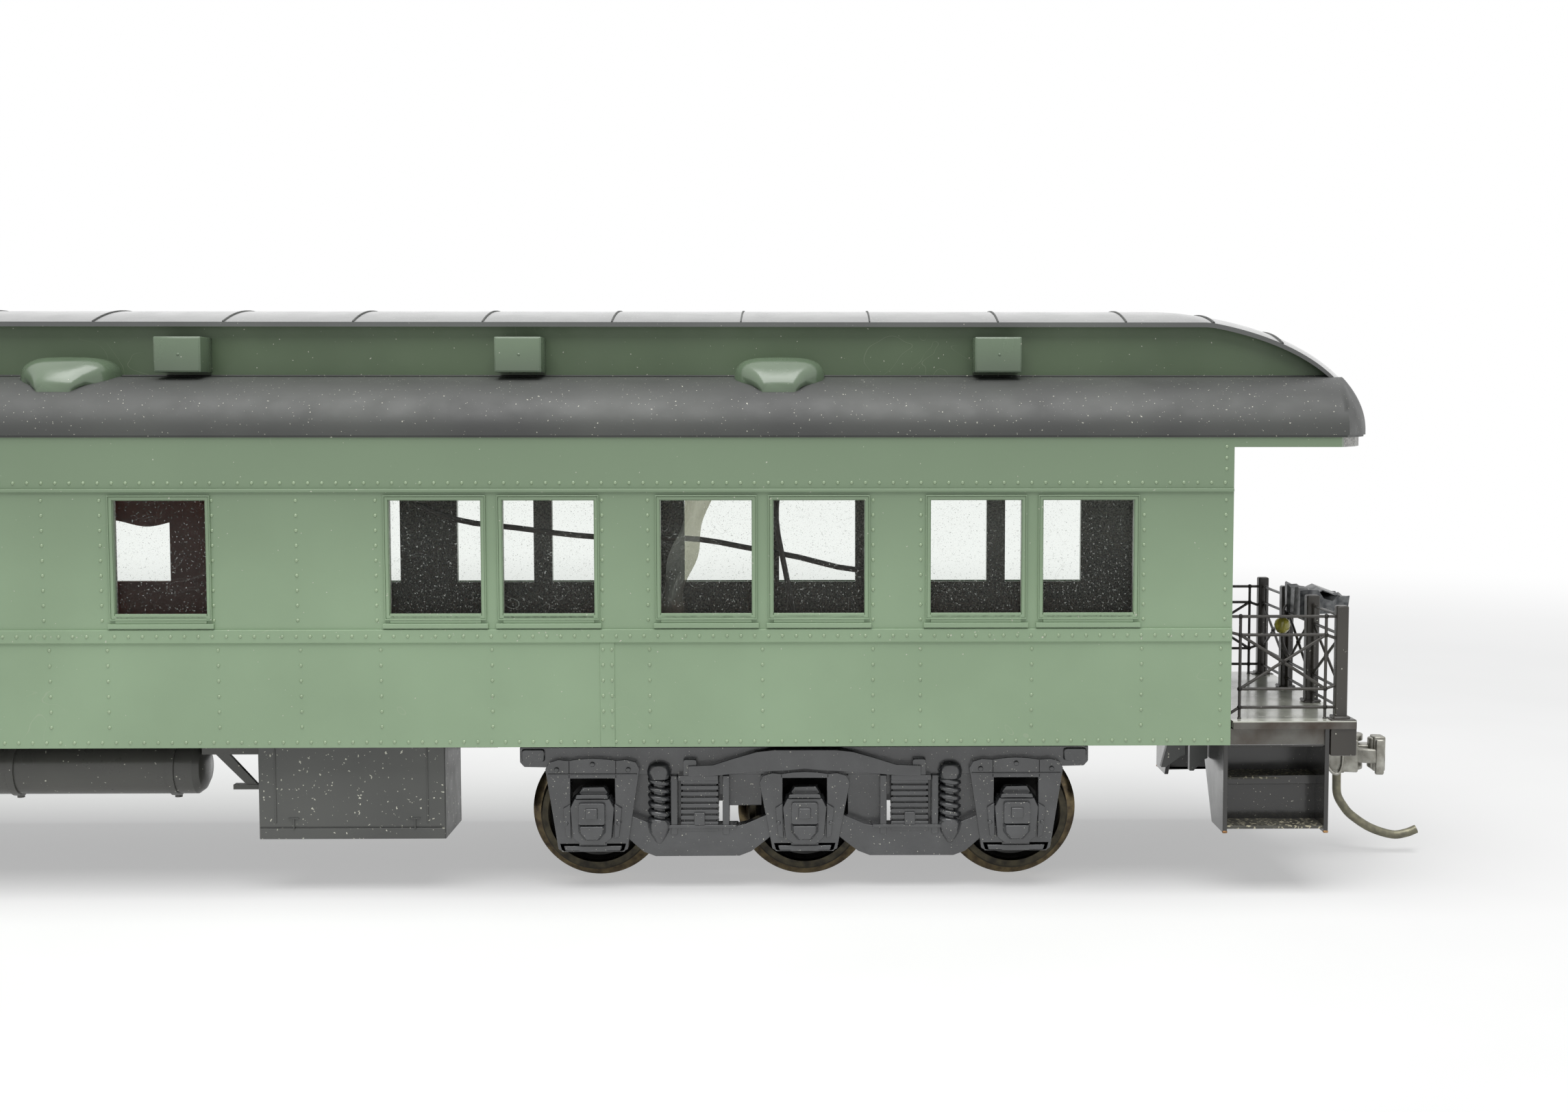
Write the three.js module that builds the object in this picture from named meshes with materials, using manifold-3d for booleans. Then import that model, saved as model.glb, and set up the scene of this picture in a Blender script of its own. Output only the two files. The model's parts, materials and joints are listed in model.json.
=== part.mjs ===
// HO scale (1:87) heavyweight observation coach: a painted metal body on two six-wheel trucks,
// with an open platform at the +X end and a vestibule at the -X end.
// Millimetres, +Z up. Z = 0 is the surface that the wheel flanges stand on, Y = 0 the centre line.
import * as THREE from 'three';
import { mergeVertices } from 'three/addons/utils/BufferGeometryUtils.js';
import Module from 'manifold-3d';

const wasm = await Module();
wasm.setup();

// ---- driving dimensions ----------------------------------------------------------------
const clearance = 0.3;        // gap between pieces that do not touch face to face
const bodyLength = 264;       // end wall to end wall
const bodyWidth = 34.8;
const sillZ = 14;             // lower edge of the side sheets
const eaveZ = 42.03;          // upper edge of the side sheets, where the roof sits
const wall = 0.8;             // side and end sheet

// Windows
const windowWidth = 8.2;
const windowHeight = 10.3;
const windowSillZ = 26.08;
const pairMullion = 1.97;     // sheet between the two windows of a pair
const pairPitch = 24.36;
const rearPairInset = 18.2;   // last pair's centre to the rear end wall
const rearPairCount = 3;
const rightInsets = [96.6];   // single windows between the pairs: centres to the rear end wall
const leftInsets = [86.3, 110.5];
const frontPairInset = 33;    // first pair's centre to the front end wall
const frontPairCount = 5;
const sideDoorWidth = 7.6;    // vestibule door in each side
const sideDoorInset = 4.9;    // its centre, and the steps' below it, to the front end wall
const doorRecess = 0.4;
const doorWindowHalf = 1.9;
const glassThickness = 0.4;
const endWindowWidth = 6.6;
const endWindowY = 10.2;
const endDoorWidth = 7.8;
const endDoorTopZ = 36.4;

// Roof
const roofOverhang = 0.25;    // eave beyond the side sheet
const eaveEdge = 0.53;        // upright edge of the eave
const deckTopZ = 47.6;        // top of the curved lower deck, foot of the clerestory
const clerestoryHalf = 9;
const upperHalf = 10;         // upper deck's half width
const upperEdgeZ = 52.67;
const upperEdge = 0.45;       // thickness of the upper deck's edge
const crownZ = 54.1;
const roofWall = 1;
const roofRearOverhang = 15.5;
const roofEndRun = 22;        // length over which the roof end curves down
const frontEndRun = 16;
const lowerBow = 5.2;         // how far the eave bows out at the rear end
const upperPlanRadius = 24;   // plan radius of the upper deck's rear end
const fasciaHeight = 0.88;

// Ventilators on the clerestory
const boxVentSize = [4.3, 3.5, 3.26];
const boxVentZ = 47.94;
const bowVentWidth = 8.4;
const bowVentNeck = 3.7;
const bowVentOut = 4.5;
const bowVentZ = [46.2, 47.2, 49.35];
const boxVentInsets = [20.9, 65.1, 96.2, 130.6, 162, 196.2, 227.3];   // centres to the rear end wall
const bowVentInset = 41.1;
const bowVentPitch = 65.5;
const bowVentCount = 4;

// Floor and platform
const floorThickness = 1.4;
const platformLength = 11.5;  // rear end wall to the outer face of the end sill
const deckPlate = 0.66;
const deckTop = 16.15;
const endSillDepth = 1.7;
const endSillBottomZ = 13.2;
const stepWidth = 9.7;
const stepBottomZ = 5.8;
const stepSheet = 0.5;
const stepDepthTop = 8.6;
const stepDepthBottom = 5;
const stepTreads = [6.1, 10.2];
const centreSillHalf = 3.6;
const centreSillZ = 11.6;

// Railings
const postSize = 1.1;
const postTopZ = 26.6;
const gatePostY = 5;
const cornerPostInset = 1.9;  // corner post's centre to the body's side
const railBars = [25.6, 23.9, 18.9, 17.2];
const railBar = 0.55;

// Trucks
const truckInset = 38.8;      // truck centre to the end wall
const wheelbaseHalf = 19.6;
const flangeDiameter = 12.8;
const treadDiameter = 10.9;
const backToBack = 14.4;
const wheelWidth = 2.8;       // tread and flange
const flangeWidth = 0.75;
const axleRadius = 1;
const journalRadius = 0.6;
const pressGap = 0.12;        // faceted bore on a faceted axle
const sideFrameOut = 14.3;
const sideFrameThickness = 2.1;
const truckTopZ = 13.3;
const truckBarReach = 6.8;     // top bar's end beyond the outer axle
const transomRoom = 1.1;       // between a transom and the wheels beside it
const springRadius = 1.1;
const kingpinRadius = 1;

// Couplers
const coupleZ = 10.2;
const boxLength = 10;
const boxHalf = 3.6;
const boxWall = 0.5;
const shankHalf = 0.8;
const shankHeight = 1.7;
const pivotRadius = 0.85;
const kneeReach = 4.9;        // outer face of the end sill to the knuckle's hinge pin

// ---- helpers ---------------------------------------------------------------------------
const paint = (name, color, roughness, metalness) =>
  new THREE.MeshStandardMaterial({ name, color, roughness, metalness });
const green = paint('coach_green', 0x4f6f4e, 0.45, 0.1);
const roofBlack = paint('roof_black', 0x2b2c2d, 0.55, 0.1);
const underBlack = paint('underframe_black', 0x242526, 0.4, 0.2);
const wheelMetal = paint('blackened_wheel', 0x3b3c3f, 0.35, 0.8);
const couplerMetal = paint('coupler_metal', 0x8f8f8b, 0.45, 0.8);
const glass = paint('clear_glazing', 0xdfe6e4, 0.1, 0);
const brown = paint('interior_brown', 0x6d3a2a, 0.6, 0);
const brass = paint('spring_brass', 0xb08d4a, 0.4, 0.9);
const lens = paint('lamp_lens', 0xb9b545, 0.3, 0);
const signGrey = paint('sign_grey', 0x3a3a3a, 0.5, 0.3);
const wireGrey = paint('wire_grey', 0x55524e, 0.6, 0);

// A closed geometry as a solid that can be joined and cut.
function solid(geometry) {
  const plain = geometry.clone();
  plain.deleteAttribute('normal');
  plain.deleteAttribute('uv');
  const merged = mergeVertices(plain, 1e-5);
  return new wasm.Manifold(new wasm.Mesh({
    numProp: 3,
    vertProperties: new Float32Array(merged.attributes.position.array),
    triVerts: new Uint32Array(merged.index.array),
  }));
}

function geometryOf(manifold) {
  const mesh = manifold.getMesh();
  const geometry = new THREE.BufferGeometry();
  geometry.setAttribute('position', new THREE.BufferAttribute(new Float32Array(mesh.vertProperties), 3));
  geometry.setIndex(new THREE.BufferAttribute(new Uint32Array(mesh.triVerts), 1));
  geometry.computeVertexNormals();
  return geometry;
}

const join = (parts) => parts.reduce((sum, part) => sum.add(part));

function box([x0, x1], [y0, y1], [z0, z1]) {
  const geometry = new THREE.BoxGeometry(x1 - x0, y1 - y0, z1 - z0);
  geometry.translate((x0 + x1) / 2, (y0 + y1) / 2, (z0 + z1) / 2);
  return solid(geometry);
}

function extrude(points, depth, basis) {
  const shape = new THREE.Shape(points.map(([u, v]) => new THREE.Vector2(u, v)));
  const geometry = new THREE.ExtrudeGeometry(shape, { depth, bevelEnabled: false });
  return solid(geometry.applyMatrix4(basis));
}

const axisX = new THREE.Vector3(1, 0, 0);
const axisY = new THREE.Vector3(0, 1, 0);
const axisZ = new THREE.Vector3(0, 0, 1);

// Outline in Y and Z, run along X.
const prismX = (points, [x0, x1]) =>
  extrude(points, x1 - x0, new THREE.Matrix4().makeBasis(axisY, axisZ, axisX).setPosition(x0, 0, 0));
// Outline in X and Z, run along Y.
const prismY = (points, [y0, y1]) => {
  const back = axisY.clone().negate();
  return extrude(points, y1 - y0, new THREE.Matrix4().makeBasis(axisX, axisZ, back).setPosition(0, y1, 0));
};
// Outline in X and Y, run along Z.
const prismZ = (points, [z0, z1]) =>
  extrude(points, z1 - z0, new THREE.Matrix4().makeTranslation(0, 0, z0));

// Turned shape: [radius, height] profile about a line through the point, along the axis.
function turned(profile, axis, [x, y, z], segments) {
  const outline = profile.map(([r, h]) => new THREE.Vector2(r, h));
  const geometry = new THREE.LatheGeometry(outline, segments);
  geometry.applyQuaternion(new THREE.Quaternion().setFromUnitVectors(axisY, axis));
  geometry.translate(x, y, z);
  return solid(geometry);
}

const rod = (axis, radius, [h0, h1], at, segments = 16) =>
  turned([[0, h0], [radius, h0], [radius, h1], [0, h1]], axis, at, segments);

// A square bar between two points.
function bar(from, to, width) {
  const a = new THREE.Vector3(...from);
  const b = new THREE.Vector3(...to);
  const geometry = new THREE.BoxGeometry(width, a.distanceTo(b), width);
  geometry.applyQuaternion(new THREE.Quaternion().setFromUnitVectors(axisY, b.clone().sub(a).normalize()));
  geometry.translate(...a.add(b).multiplyScalar(0.5).toArray());
  return solid(geometry);
}

function tubeAlong(points, radius, sides, steps) {
  const section = new THREE.Shape();
  section.absarc(0, 0, radius, 0, 2 * Math.PI, false);
  const path = new THREE.CatmullRomCurve3(points.map((p) => new THREE.Vector3(...p)));
  return solid(new THREE.ExtrudeGeometry(section, { steps, curveSegments: sides / 2, extrudePath: path }));
}

const mirrorPoints = (points) => points.map(([u, v]) => [-u, v]).reverse();

const coach = new THREE.Group();

function place(name, manifold, material, parent = coach) {
  const mesh = new THREE.Mesh(geometryOf(manifold), material);
  mesh.name = name;
  parent.add(mesh);
  return mesh;
}

// ---- places that several pieces share ---------------------------------------------------
const endX = bodyLength / 2;
const sideY = bodyWidth / 2;
const innerY = sideY - wall;
const deckEndX = endX + platformLength;
const windowTopZ = windowSillZ + windowHeight;
const floorTopZ = sillZ + floorThickness;
const roofEndX = endX + roofRearOverhang;
const roofHalf = sideY + roofOverhang;
const lowerPlanRadius = (roofHalf ** 2 + lowerBow ** 2) / (2 * lowerBow);
const truckX = endX - truckInset;
const wheelZ = flangeDiameter / 2;
const stepOutY = sideY - 0.4;
const tongueHalf = stepOutY - stepDepthTop - clearance;   // floor of the platform, between the steps

const pairShift = (windowWidth + pairMullion) / 2;
const pairedWindows = [];
for (let i = 0; i < rearPairCount; i += 1) {
  const centre = endX - rearPairInset - i * pairPitch;
  pairedWindows.push(centre - pairShift, centre + pairShift);
}
for (let i = 0; i < frontPairCount; i += 1) {
  const centre = -endX + frontPairInset + i * pairPitch;
  pairedWindows.push(centre - pairShift, centre + pairShift);
}

// ---- body shell ------------------------------------------------------------------------
function bodyShell() {
  const past = 1;
  const outer = box([-endX, endX], [-sideY, sideY], [sillZ, eaveZ]);
  const inside = box([-endX + wall, endX - wall], [-innerY, innerY], [sillZ - past, eaveZ + past]);
  const opening = (x, across) => box([x - windowWidth / 2, x + windowWidth / 2], across,
    [windowSillZ, windowTopZ]);
  const windows = [...pairedWindows.map((x) => opening(x, [-sideY - past, sideY + past])),
    ...rightInsets.map((inset) => opening(endX - inset, [-sideY - past, 0])),
    ...leftInsets.map((inset) => opening(endX - inset, [0, sideY + past]))];
  const doorX = -endX + sideDoorInset;
  const recesses = [-1, 1].map((side) => box([doorX - sideDoorWidth / 2, doorX + sideDoorWidth / 2],
    side > 0 ? [sideY - doorRecess, sideY + past] : [-sideY - past, -sideY + doorRecess],
    [sillZ - past, windowTopZ + 0.6]));
  const doorWindow = box([doorX - doorWindowHalf, doorX + doorWindowHalf], [-sideY - past, sideY + past],
    [windowSillZ, windowTopZ - 1]);
  const endOpenings = [-1, 1].map((end) => box([end * endX - past, end * endX + past],
    [-endDoorWidth / 2, endDoorWidth / 2], [floorTopZ + 0.2, endDoorTopZ]));
  const endWindows = [-1, 1].map((side) => box([endX - 2 * past, endX + past],
    [side * endWindowY - endWindowWidth / 2, side * endWindowY + endWindowWidth / 2],
    [windowSillZ, windowTopZ]));
  const tongueRoom = box([endX - 2 * past, endX + past],
    [-tongueHalf - clearance, tongueHalf + clearance], [sillZ - past, floorTopZ + clearance]);
  return outer.subtract(join([inside, ...windows, ...recesses, doorWindow, ...endOpenings, ...endWindows,
    tongueRoom])).add(platformFascia());
}

// The narrow band that carries the letterboard's line round the platform, under the roof.
function platformFascia() {
  const centreX = roofEndX - lowerPlanRadius;
  const range = [eaveZ - fasciaHeight, eaveZ];
  const slab = (inset) => box([endX - wall / 2, roofEndX + 1], [-sideY + inset, sideY - inset], range)
    .intersect(rod(axisZ, lowerPlanRadius - 0.6 - inset, range, [centreX, 0, 0], 60));
  const hollow = slab(wall).add(box([endX - wall, endX + 1], [-innerY, innerY], range));
  return slab(0).subtract(hollow);
}

place('body_shell', bodyShell(), green);

// ---- roof ------------------------------------------------------------------------------
const arcSteps = 8;
const quarter = (steps) => Array.from({ length: steps + 1 }, (_, i) => (i / steps) * (Math.PI / 2));

// One half of the curved lower deck, from the eave to the foot of the clerestory.
const lowerCurve = (inset) => quarter(arcSteps).map((t) => [
  -clerestoryHalf - (roofHalf - clerestoryHalf - inset) * Math.cos(t),
  eaveZ + eaveEdge + (deckTopZ - eaveZ - eaveEdge - inset) * Math.sin(t)]);

function lowerSection(inset, foot) {
  const left = [[-roofHalf + inset, eaveZ - foot], ...lowerCurve(inset)];
  return [...left, ...mirrorPoints(left)].reverse();
}

// The upper deck with its low arch, or the space under it.
function upperSection(halfWidth, drop) {
  const rise = crownZ - upperEdgeZ;
  const radius = (upperHalf ** 2 + rise ** 2) / (2 * rise);
  const half = Math.asin(halfWidth / radius);
  const arc = Array.from({ length: 9 }, (_, i) => half * (1 - i / 4)).map((a) => [
    radius * Math.sin(a), crownZ - drop - radius + radius * Math.cos(a)]);
  return [[-halfWidth, deckTopZ - 3 - drop], [halfWidth, deckTopZ - 3 - drop], ...arc];
}

// Height and reach of the roof end's curve: an ellipse from the eave to the crown.
const endCurve = (run, drop) => quarter(12).map((t) => [
  -run + (run - drop) * Math.cos(t), eaveZ + eaveEdge + (crownZ - eaveZ - eaveEdge - drop) * Math.sin(t)]);

// Everything the roof may fill: straight along the car, bowed in plan at the rear end.
function envelope(planRadius, drop) {
  const centreX = roofEndX - planRadius;
  const profile = endCurve(roofEndRun, drop).map(([x, z]) => [x + planRadius, z]);
  const foot = eaveZ - 1;
  const rear = turned([[0, foot], [planRadius - drop, foot], ...profile, [0, profile.at(-1)[1]]],
    axisZ, [centreX, 0, 0], 60);
  const frontX = -endX - roofOverhang;
  const front = endCurve(frontEndRun, drop).map(([x, z]) => [frontX - x, z]);
  const along = prismY([[frontX + drop, foot], [centreX, foot],
    [centreX, crownZ - drop], ...front.reverse()], [-roofHalf - 1, roofHalf + 1]);
  return along.add(rear);
}

function boxVent(x, side) {
  const [width, out, height] = boxVentSize;
  const range = [clerestoryHalf - 0.2, clerestoryHalf + out];
  const across = side > 0 ? range : [-range[1], -range[0]];
  return box([x - width / 2, x + width / 2], across, [boxVentZ, boxVentZ + height]);
}

function bowVent(x, side) {
  const [low, shoulder, top] = bowVentZ;
  const half = bowVentWidth / 2;
  const neck = bowVentNeck / 2;
  const outline = [[x - neck, low], [x + neck, low], [x + neck + 0.6, low + 0.5], [x + half, shoulder],
    [x + half, top], [x - half, top], [x - half, shoulder], [x - neck - 0.6, low + 0.5]];
  const range = [clerestoryHalf - 0.2, clerestoryHalf + bowVentOut];
  return prismY(outline, side > 0 ? range : [-range[1], -range[0]]);
}

const bowVentXs = Array.from({ length: bowVentCount }, (_, i) => endX - bowVentInset - i * bowVentPitch);

function roof() {
  const along = [-endX - 5, roofEndX + 1];
  const lower = prismX(lowerSection(0, 0), along).intersect(envelope(lowerPlanRadius, 0));
  const underEdge = envelope(upperPlanRadius, upperEdge);
  const recesses = [-1, 1].map((side) => box(along,
    side > 0 ? [clerestoryHalf, roofHalf] : [-roofHalf, -clerestoryHalf],
    [deckTopZ - 4, upperEdgeZ - upperEdge]).intersect(underEdge));
  const upper = prismX(upperSection(upperHalf, 0), along).intersect(envelope(upperPlanRadius, 0))
    .subtract(join(recesses));
  const lowerHollow = prismX(lowerSection(roofWall, 1), along)
    .intersect(envelope(lowerPlanRadius, roofWall));
  const upperHollow = prismX(upperSection(clerestoryHalf - roofWall, roofWall), along)
    .intersect(envelope(upperPlanRadius, roofWall + upperEdge));
  const hollow = lowerHollow.add(upperHollow);
  const vents = [-1, 1].flatMap((side) => [
    ...boxVentInsets.map((inset) => boxVent(endX - inset, side)),
    ...bowVentXs.map((x) => bowVent(x, side))]);
  return join([lower, upper]).subtract(hollow).add(join(vents));
}

place('roof', roof(), roofBlack);

// ---- glazing ---------------------------------------------------------------------------
const glassOutY = innerY - clearance;
for (const [name, side] of [['glazing_left', 1], ['glazing_right', -1]]) {
  const inY = glassOutY - glassThickness;
  const across = side > 0 ? [inY, glassOutY] : [-glassOutY, -inY];
  place(name, box([-endX + 3, endX - 3], across, [windowSillZ - 1.6, windowTopZ + 1.6]), glass);
}

// ---- end doors -------------------------------------------------------------------------
function endDoor(end) {
  const x0 = end * (endX - wall / 2);
  const half = endDoorWidth / 2 - clearance;
  const leaf = box([x0 - 0.3, x0 + 0.3], [-half, half], [floorTopZ + 0.2 + clearance, endDoorTopZ - clearance]);
  return leaf.subtract(box([x0 - 1, x0 + 1], [-2.2, 2.2], [windowSillZ, endDoorTopZ - 2.4]));
}

place('rear_door', endDoor(1), green);
place('front_door', endDoor(-1), green);

// ---- underframe ------------------------------------------------------------------------
const padZ = coupleZ + shankHeight / 2 + clearance + boxWall;   // underside of the coupler pads
const boxRearX = deckEndX + 1 - boxLength;
const bossRadius = 4;
const truckPlateZ = [9.8, 11.6];

function underframe() {
  const y = innerY - clearance;
  const floor = box([-endX + wall + clearance, endX - wall - clearance], [-y, y], [sillZ, floorTopZ]);
  const sill = box([-truckX + 30, truckX - 30], [-centreSillHalf, centreSillHalf], [centreSillZ, sillZ]);
  const tongue = box([endX - 3, deckEndX - endSillDepth + 0.2], [-tongueHalf, tongueHalf],
    [sillZ - 0.6, floorTopZ - 0.05]);
  const endSill = box([deckEndX - endSillDepth, deckEndX], [-sideY + 0.6, sideY - 0.6],
    [endSillBottomZ, deckTop - deckPlate]);
  const rearPad = box([boxRearX, deckEndX - 0.3], [-boxHalf, boxHalf], [padZ, sillZ]);
  const frontPad = box([-endX + wall + clearance, -endX + boxLength], [-boxHalf, boxHalf], [padZ, sillZ]);
  const bosses = [-1, 1].map((end) => rod(axisZ, bossRadius,
    [truckPlateZ[1] + clearance, sillZ + 0.2], [end * truckX, 0, 0], 24));
  const pinHoles = [-1, 1].map((end) => rod(axisZ, kingpinRadius + clearance,
    [truckPlateZ[1], floorTopZ + 1], [end * truckX, 0, 0], 16));
  return join([floor, sill, tongue, endSill, rearPad, frontPad, ...bosses]).subtract(join(pinHoles));
}

place('underframe', underframe(), underBlack);

// Deck plate of the platform, with the step traps closed.
place('platform_deck', box([endX + clearance, deckEndX + 0.1], [-sideY + 0.3, sideY - 0.3],
  [deckTop - deckPlate, deckTop]), underBlack);

// ---- kingpins: the screws that hold the trucks on ---------------------------------------
for (const [name, end] of [['rear_kingpin', 1], ['front_kingpin', -1]]) {
  const profile = [[0, truckPlateZ[0] - clearance - 0.8], [kingpinRadius * 2, truckPlateZ[0] - clearance - 0.8],
    [kingpinRadius * 2, truckPlateZ[0] - clearance], [kingpinRadius, truckPlateZ[0] - clearance],
    [kingpinRadius, floorTopZ + 0.6], [0, floorTopZ + 0.6]];
  place(name, turned(profile, axisZ, [end * truckX, 0, 0], 16), brass);
}

// ---- interior --------------------------------------------------------------------------
const bulkheadXs = [15, -36, -103, -118];
const firstSeatX = -92;
const seatPitch = 22;
const seatSize = [6, 6];      // along the car, and height
const seatCount = 9;

function interior() {
  const y = glassOutY - glassThickness - clearance;
  const z0 = floorTopZ + 0.8;
  const [seatLong, seatHigh] = seatSize;
  const floor = box([-endX + 4, endX - 4], [-y, y], [z0, z0 + 1]);
  const bulkheads = bulkheadXs.map((x) => box([x - 0.5, x + 0.5], [-y, y], [z0, eaveZ - 1.5]));
  const aisles = box([-endX, endX], [-3, 3], [z0 + 1, eaveZ - 8]);
  const seatXs = Array.from({ length: seatCount }, (_, i) => firstSeatX + i * seatPitch);
  const seats = [-1, 1].flatMap((side) => seatXs.map((x) => box(
    [x, x + seatLong], side > 0 ? [4.5, y] : [-y, -4.5], [z0, z0 + seatHigh])));
  const feet = [-1, 1].map((end) => box([end * 60 - 10, end * 60 + 10], [-6, 6], [floorTopZ, z0]));
  return join([floor, ...bulkheads, ...seats]).subtract(aisles).add(join(feet));
}

place('interior_moulding', interior(), brown);

// Loose lighting lead inside: from the rear kingpin up, over, and along to the ceiling.
const leadPoints = [[truckX, 3.2, 17.8], [92.4, 4.3, 22], [91.4, 5, 27.3], [90.3, 5, 35.1], [92, 5, 39],
  [97, 5, 40], [102, 5, 37], [103.4, 5, 31.5], [101.5, 5, 28.6], [98.3, 5, 28.3], [92.2, 6, 29.6],
  [87.7, 6.2, 30.4], [82.3, 5.6, 31.4], [71.7, 5, 31.7], [64, 5, 32.6], [58.1, 5, 33.4], [53.9, 5, 35]];
place('lighting_lead', tubeAlong(leadPoints, 0.28, 8, 44), wireGrey);

// ---- steps -----------------------------------------------------------------------------
// One step box: two side plates with a cut corner, and two treads with their risers.
function stepBox(side) {
  const top = deckTop - deckPlate;
  const plate = [[stepOutY, top], [stepOutY, stepBottomZ], [stepOutY - stepDepthBottom, stepBottomZ],
    [stepOutY - stepDepthTop, stepBottomZ + 5.5], [stepOutY - stepDepthTop, top]].reverse();
  const facing = side > 0 ? plate : mirrorPoints(plate);
  const half = stepWidth / 2;
  const plates = [-1, 1].map((end) => prismX(facing, end < 0 ? [-half, -half + stepSheet] : [half - stepSheet, half]));
  const sheet = ([y0, y1], z) => box([-half + 0.1, half - 0.1],
    side > 0 ? [stepOutY - y1, stepOutY - y0] : [-stepOutY + y0, -stepOutY + y1], z);
  const [low, high] = stepTreads;
  return join([...plates, sheet([0.1, 3.6], [low, low + stepSheet]),
    sheet([3.1, 3.6], [low, high + stepSheet]), sheet([3.1, 6.6], [high, high + stepSheet]),
    sheet([6.1, 6.6], [high, top - 0.6]), sheet([6.1, stepDepthTop], [top - 1.1, top - 0.6])]);
}

// Under the body the plates stop at the sill; past the end wall they reach the platform deck.
for (const [end, x] of [['rear', endX + stepWidth / 2 - stepSheet], ['front', -endX + sideDoorInset]]) {
  const underBody = box([-endX - 1, endX + clearance], [-sideY, sideY], [sillZ, deckTop]);
  for (const [hand, side] of [['left', 1], ['right', -1]]) {
    place(`${end}_steps_${hand}`, stepBox(side).translate([x, 0, 0]).subtract(underBody), underBlack);
  }
}

// ---- railings --------------------------------------------------------------------------
const postX = deckEndX - 1;
const cornerPostY = sideY - cornerPostInset;
const deckFoot = deckTop;

const post = (y) => box([postX - postSize / 2, postX + postSize / 2],
  [y - postSize / 2, y + postSize / 2], [deckFoot, postTopZ]);

// A panel of rails and one crossed brace between two uprights, in the plane that `at` gives.
function railPanel(at, u0, u1) {
  const rails = railBars.map((z) => bar(at(u0, z), at(u1, z), railBar));
  const [, upper, lower] = railBars;
  const crosses = [bar(at(u0, upper), at(u1, lower), railBar), bar(at(u0, lower), at(u1, upper), railBar)];
  return join([...rails, ...crosses]);
}

function endRailing() {
  const at = (y, z) => [postX, y, z];
  const spans = [[-cornerPostY + postSize / 2 + clearance, -gatePostY], [-gatePostY, gatePostY],
    [gatePostY, cornerPostY - postSize / 2 - clearance]];
  const feet = [-1, 1].map((side) => bar(at(side * (cornerPostY - 1.2), deckFoot),
    at(side * (cornerPostY - 1.2), railBars[0]), railBar));
  return join([...spans.map(([a, b]) => railPanel(at, a, b)), post(-gatePostY), post(gatePostY), ...feet]);
}

function sideRailing(side) {
  const at = (x, z) => [x, side * cornerPostY, z];
  const first = endX + 0.8;
  const wallPost = bar(at(first, deckFoot), at(first, railBars[0] + railBar / 2), railBar);
  return join([railPanel(at, first, postX), post(side * cornerPostY), wallPost]);
}

place('end_railing', endRailing(), underBlack);
place('side_railing_left', sideRailing(1), underBlack);
place('side_railing_right', sideRailing(-1), underBlack);

// Round-cornered sign box that hangs on the end rail, and the lamp beside it.
const signX = postX + railBar / 2 + clearance;
const signDepth = 4;
const signZ = [24, 27.3];
const signHook = box([signX - 1.4, signX + 1], [-2.6, 2.6], [postTopZ - 0.4, signZ[1]]);
place('tail_sign', box([signX, signX + signDepth], [-3.2, 3.2], signZ).add(signHook), signGrey);
place('tail_lamp', turned([[0, 0], [0.5, 0.1], [0.85, 0.6], [0.85, 1.3], [0.45, 1.9], [0, 1.9]],
  axisZ, [postX - railBar / 2 - 0.85 - clearance / 2, 1.5, 21.9], 12), lens);

// ---- underbody equipment ---------------------------------------------------------------
const batteryX = [43.1, 60.2];
const batteryY = [2.4 - sideY, 10.4 - sideY];
const batteryBottomZ = 5.1;
const lid = box([batteryX[0] + 1.6, batteryX[1] - 1.5], [batteryY[0] - 0.3, batteryY[0] + 0.1],
  [batteryBottomZ + 1, sillZ - 1.4]);
place('battery_box', box(batteryX, batteryY, [batteryBottomZ, sillZ]).add(lid), underBlack);

const tankRadius = 2.5;
const bandRadius = tankRadius + 0.2;
const tankX = [4, 37.5];
const tankZ = 11.15;
const tankY = 6.4 - sideY;
const bandXs = [6.7, 19.8, 34.5];
const tankProfile = [[0, tankX[0]], [tankRadius - 0.7, tankX[0]], [tankRadius, tankX[0] + 0.7],
  ...bandXs.flatMap((x) => [[tankRadius, x - 0.5], [bandRadius, x - 0.5], [bandRadius, x + 0.5],
    [tankRadius, x + 0.5]]),
  [tankRadius, tankX[1] - 0.7], [tankRadius - 0.7, tankX[1]], [0, tankX[1]]];
place('air_reservoir', turned(tankProfile, axisX, [0, tankY, tankZ], 16), underBlack);

const cylinderX = [-30, -12];
const cylinderY = centreSillHalf + 5.4;
const cylinderZ = 10.7;
const headPlateX = [-16, -14.5];
place('brake_cylinder', turned([[0, cylinderX[0]], [2.4, cylinderX[0]], [2.4, headPlateX[0]],
  [3, headPlateX[0]], [3, headPlateX[1]], [1.2, headPlateX[1]], [0.7, cylinderX[1]], [0, cylinderX[1]]],
axisX, [0, cylinderY, cylinderZ], 16), underBlack);

// ---- front diaphragm -------------------------------------------------------------------
const faceX = -endX - 2.6;
const bellows = box([faceX, -endX - clearance], [-5.2, 5.2], [floorTopZ, 38.5])
  .add(box([faceX - 0.6, faceX + 0.1], [-6, 6], [sillZ, 39.3]));
place('front_diaphragm', bellows.subtract(box([faceX - 2, -endX + 1], [-4.2, 4.2], [floorTopZ + 0.6, 37.2])),
  underBlack);

// ---- couplers --------------------------------------------------------------------------
// Built at the rear end; the front ones are the same pieces turned half round.
const boxFrontX = boxRearX + boxLength;
const pivotX = boxRearX + 3;
const boxLowZ = coupleZ - shankHeight / 2 - clearance - boxWall;
const kneeX = deckEndX + kneeReach;
const kneeY = 1.15;

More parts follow.
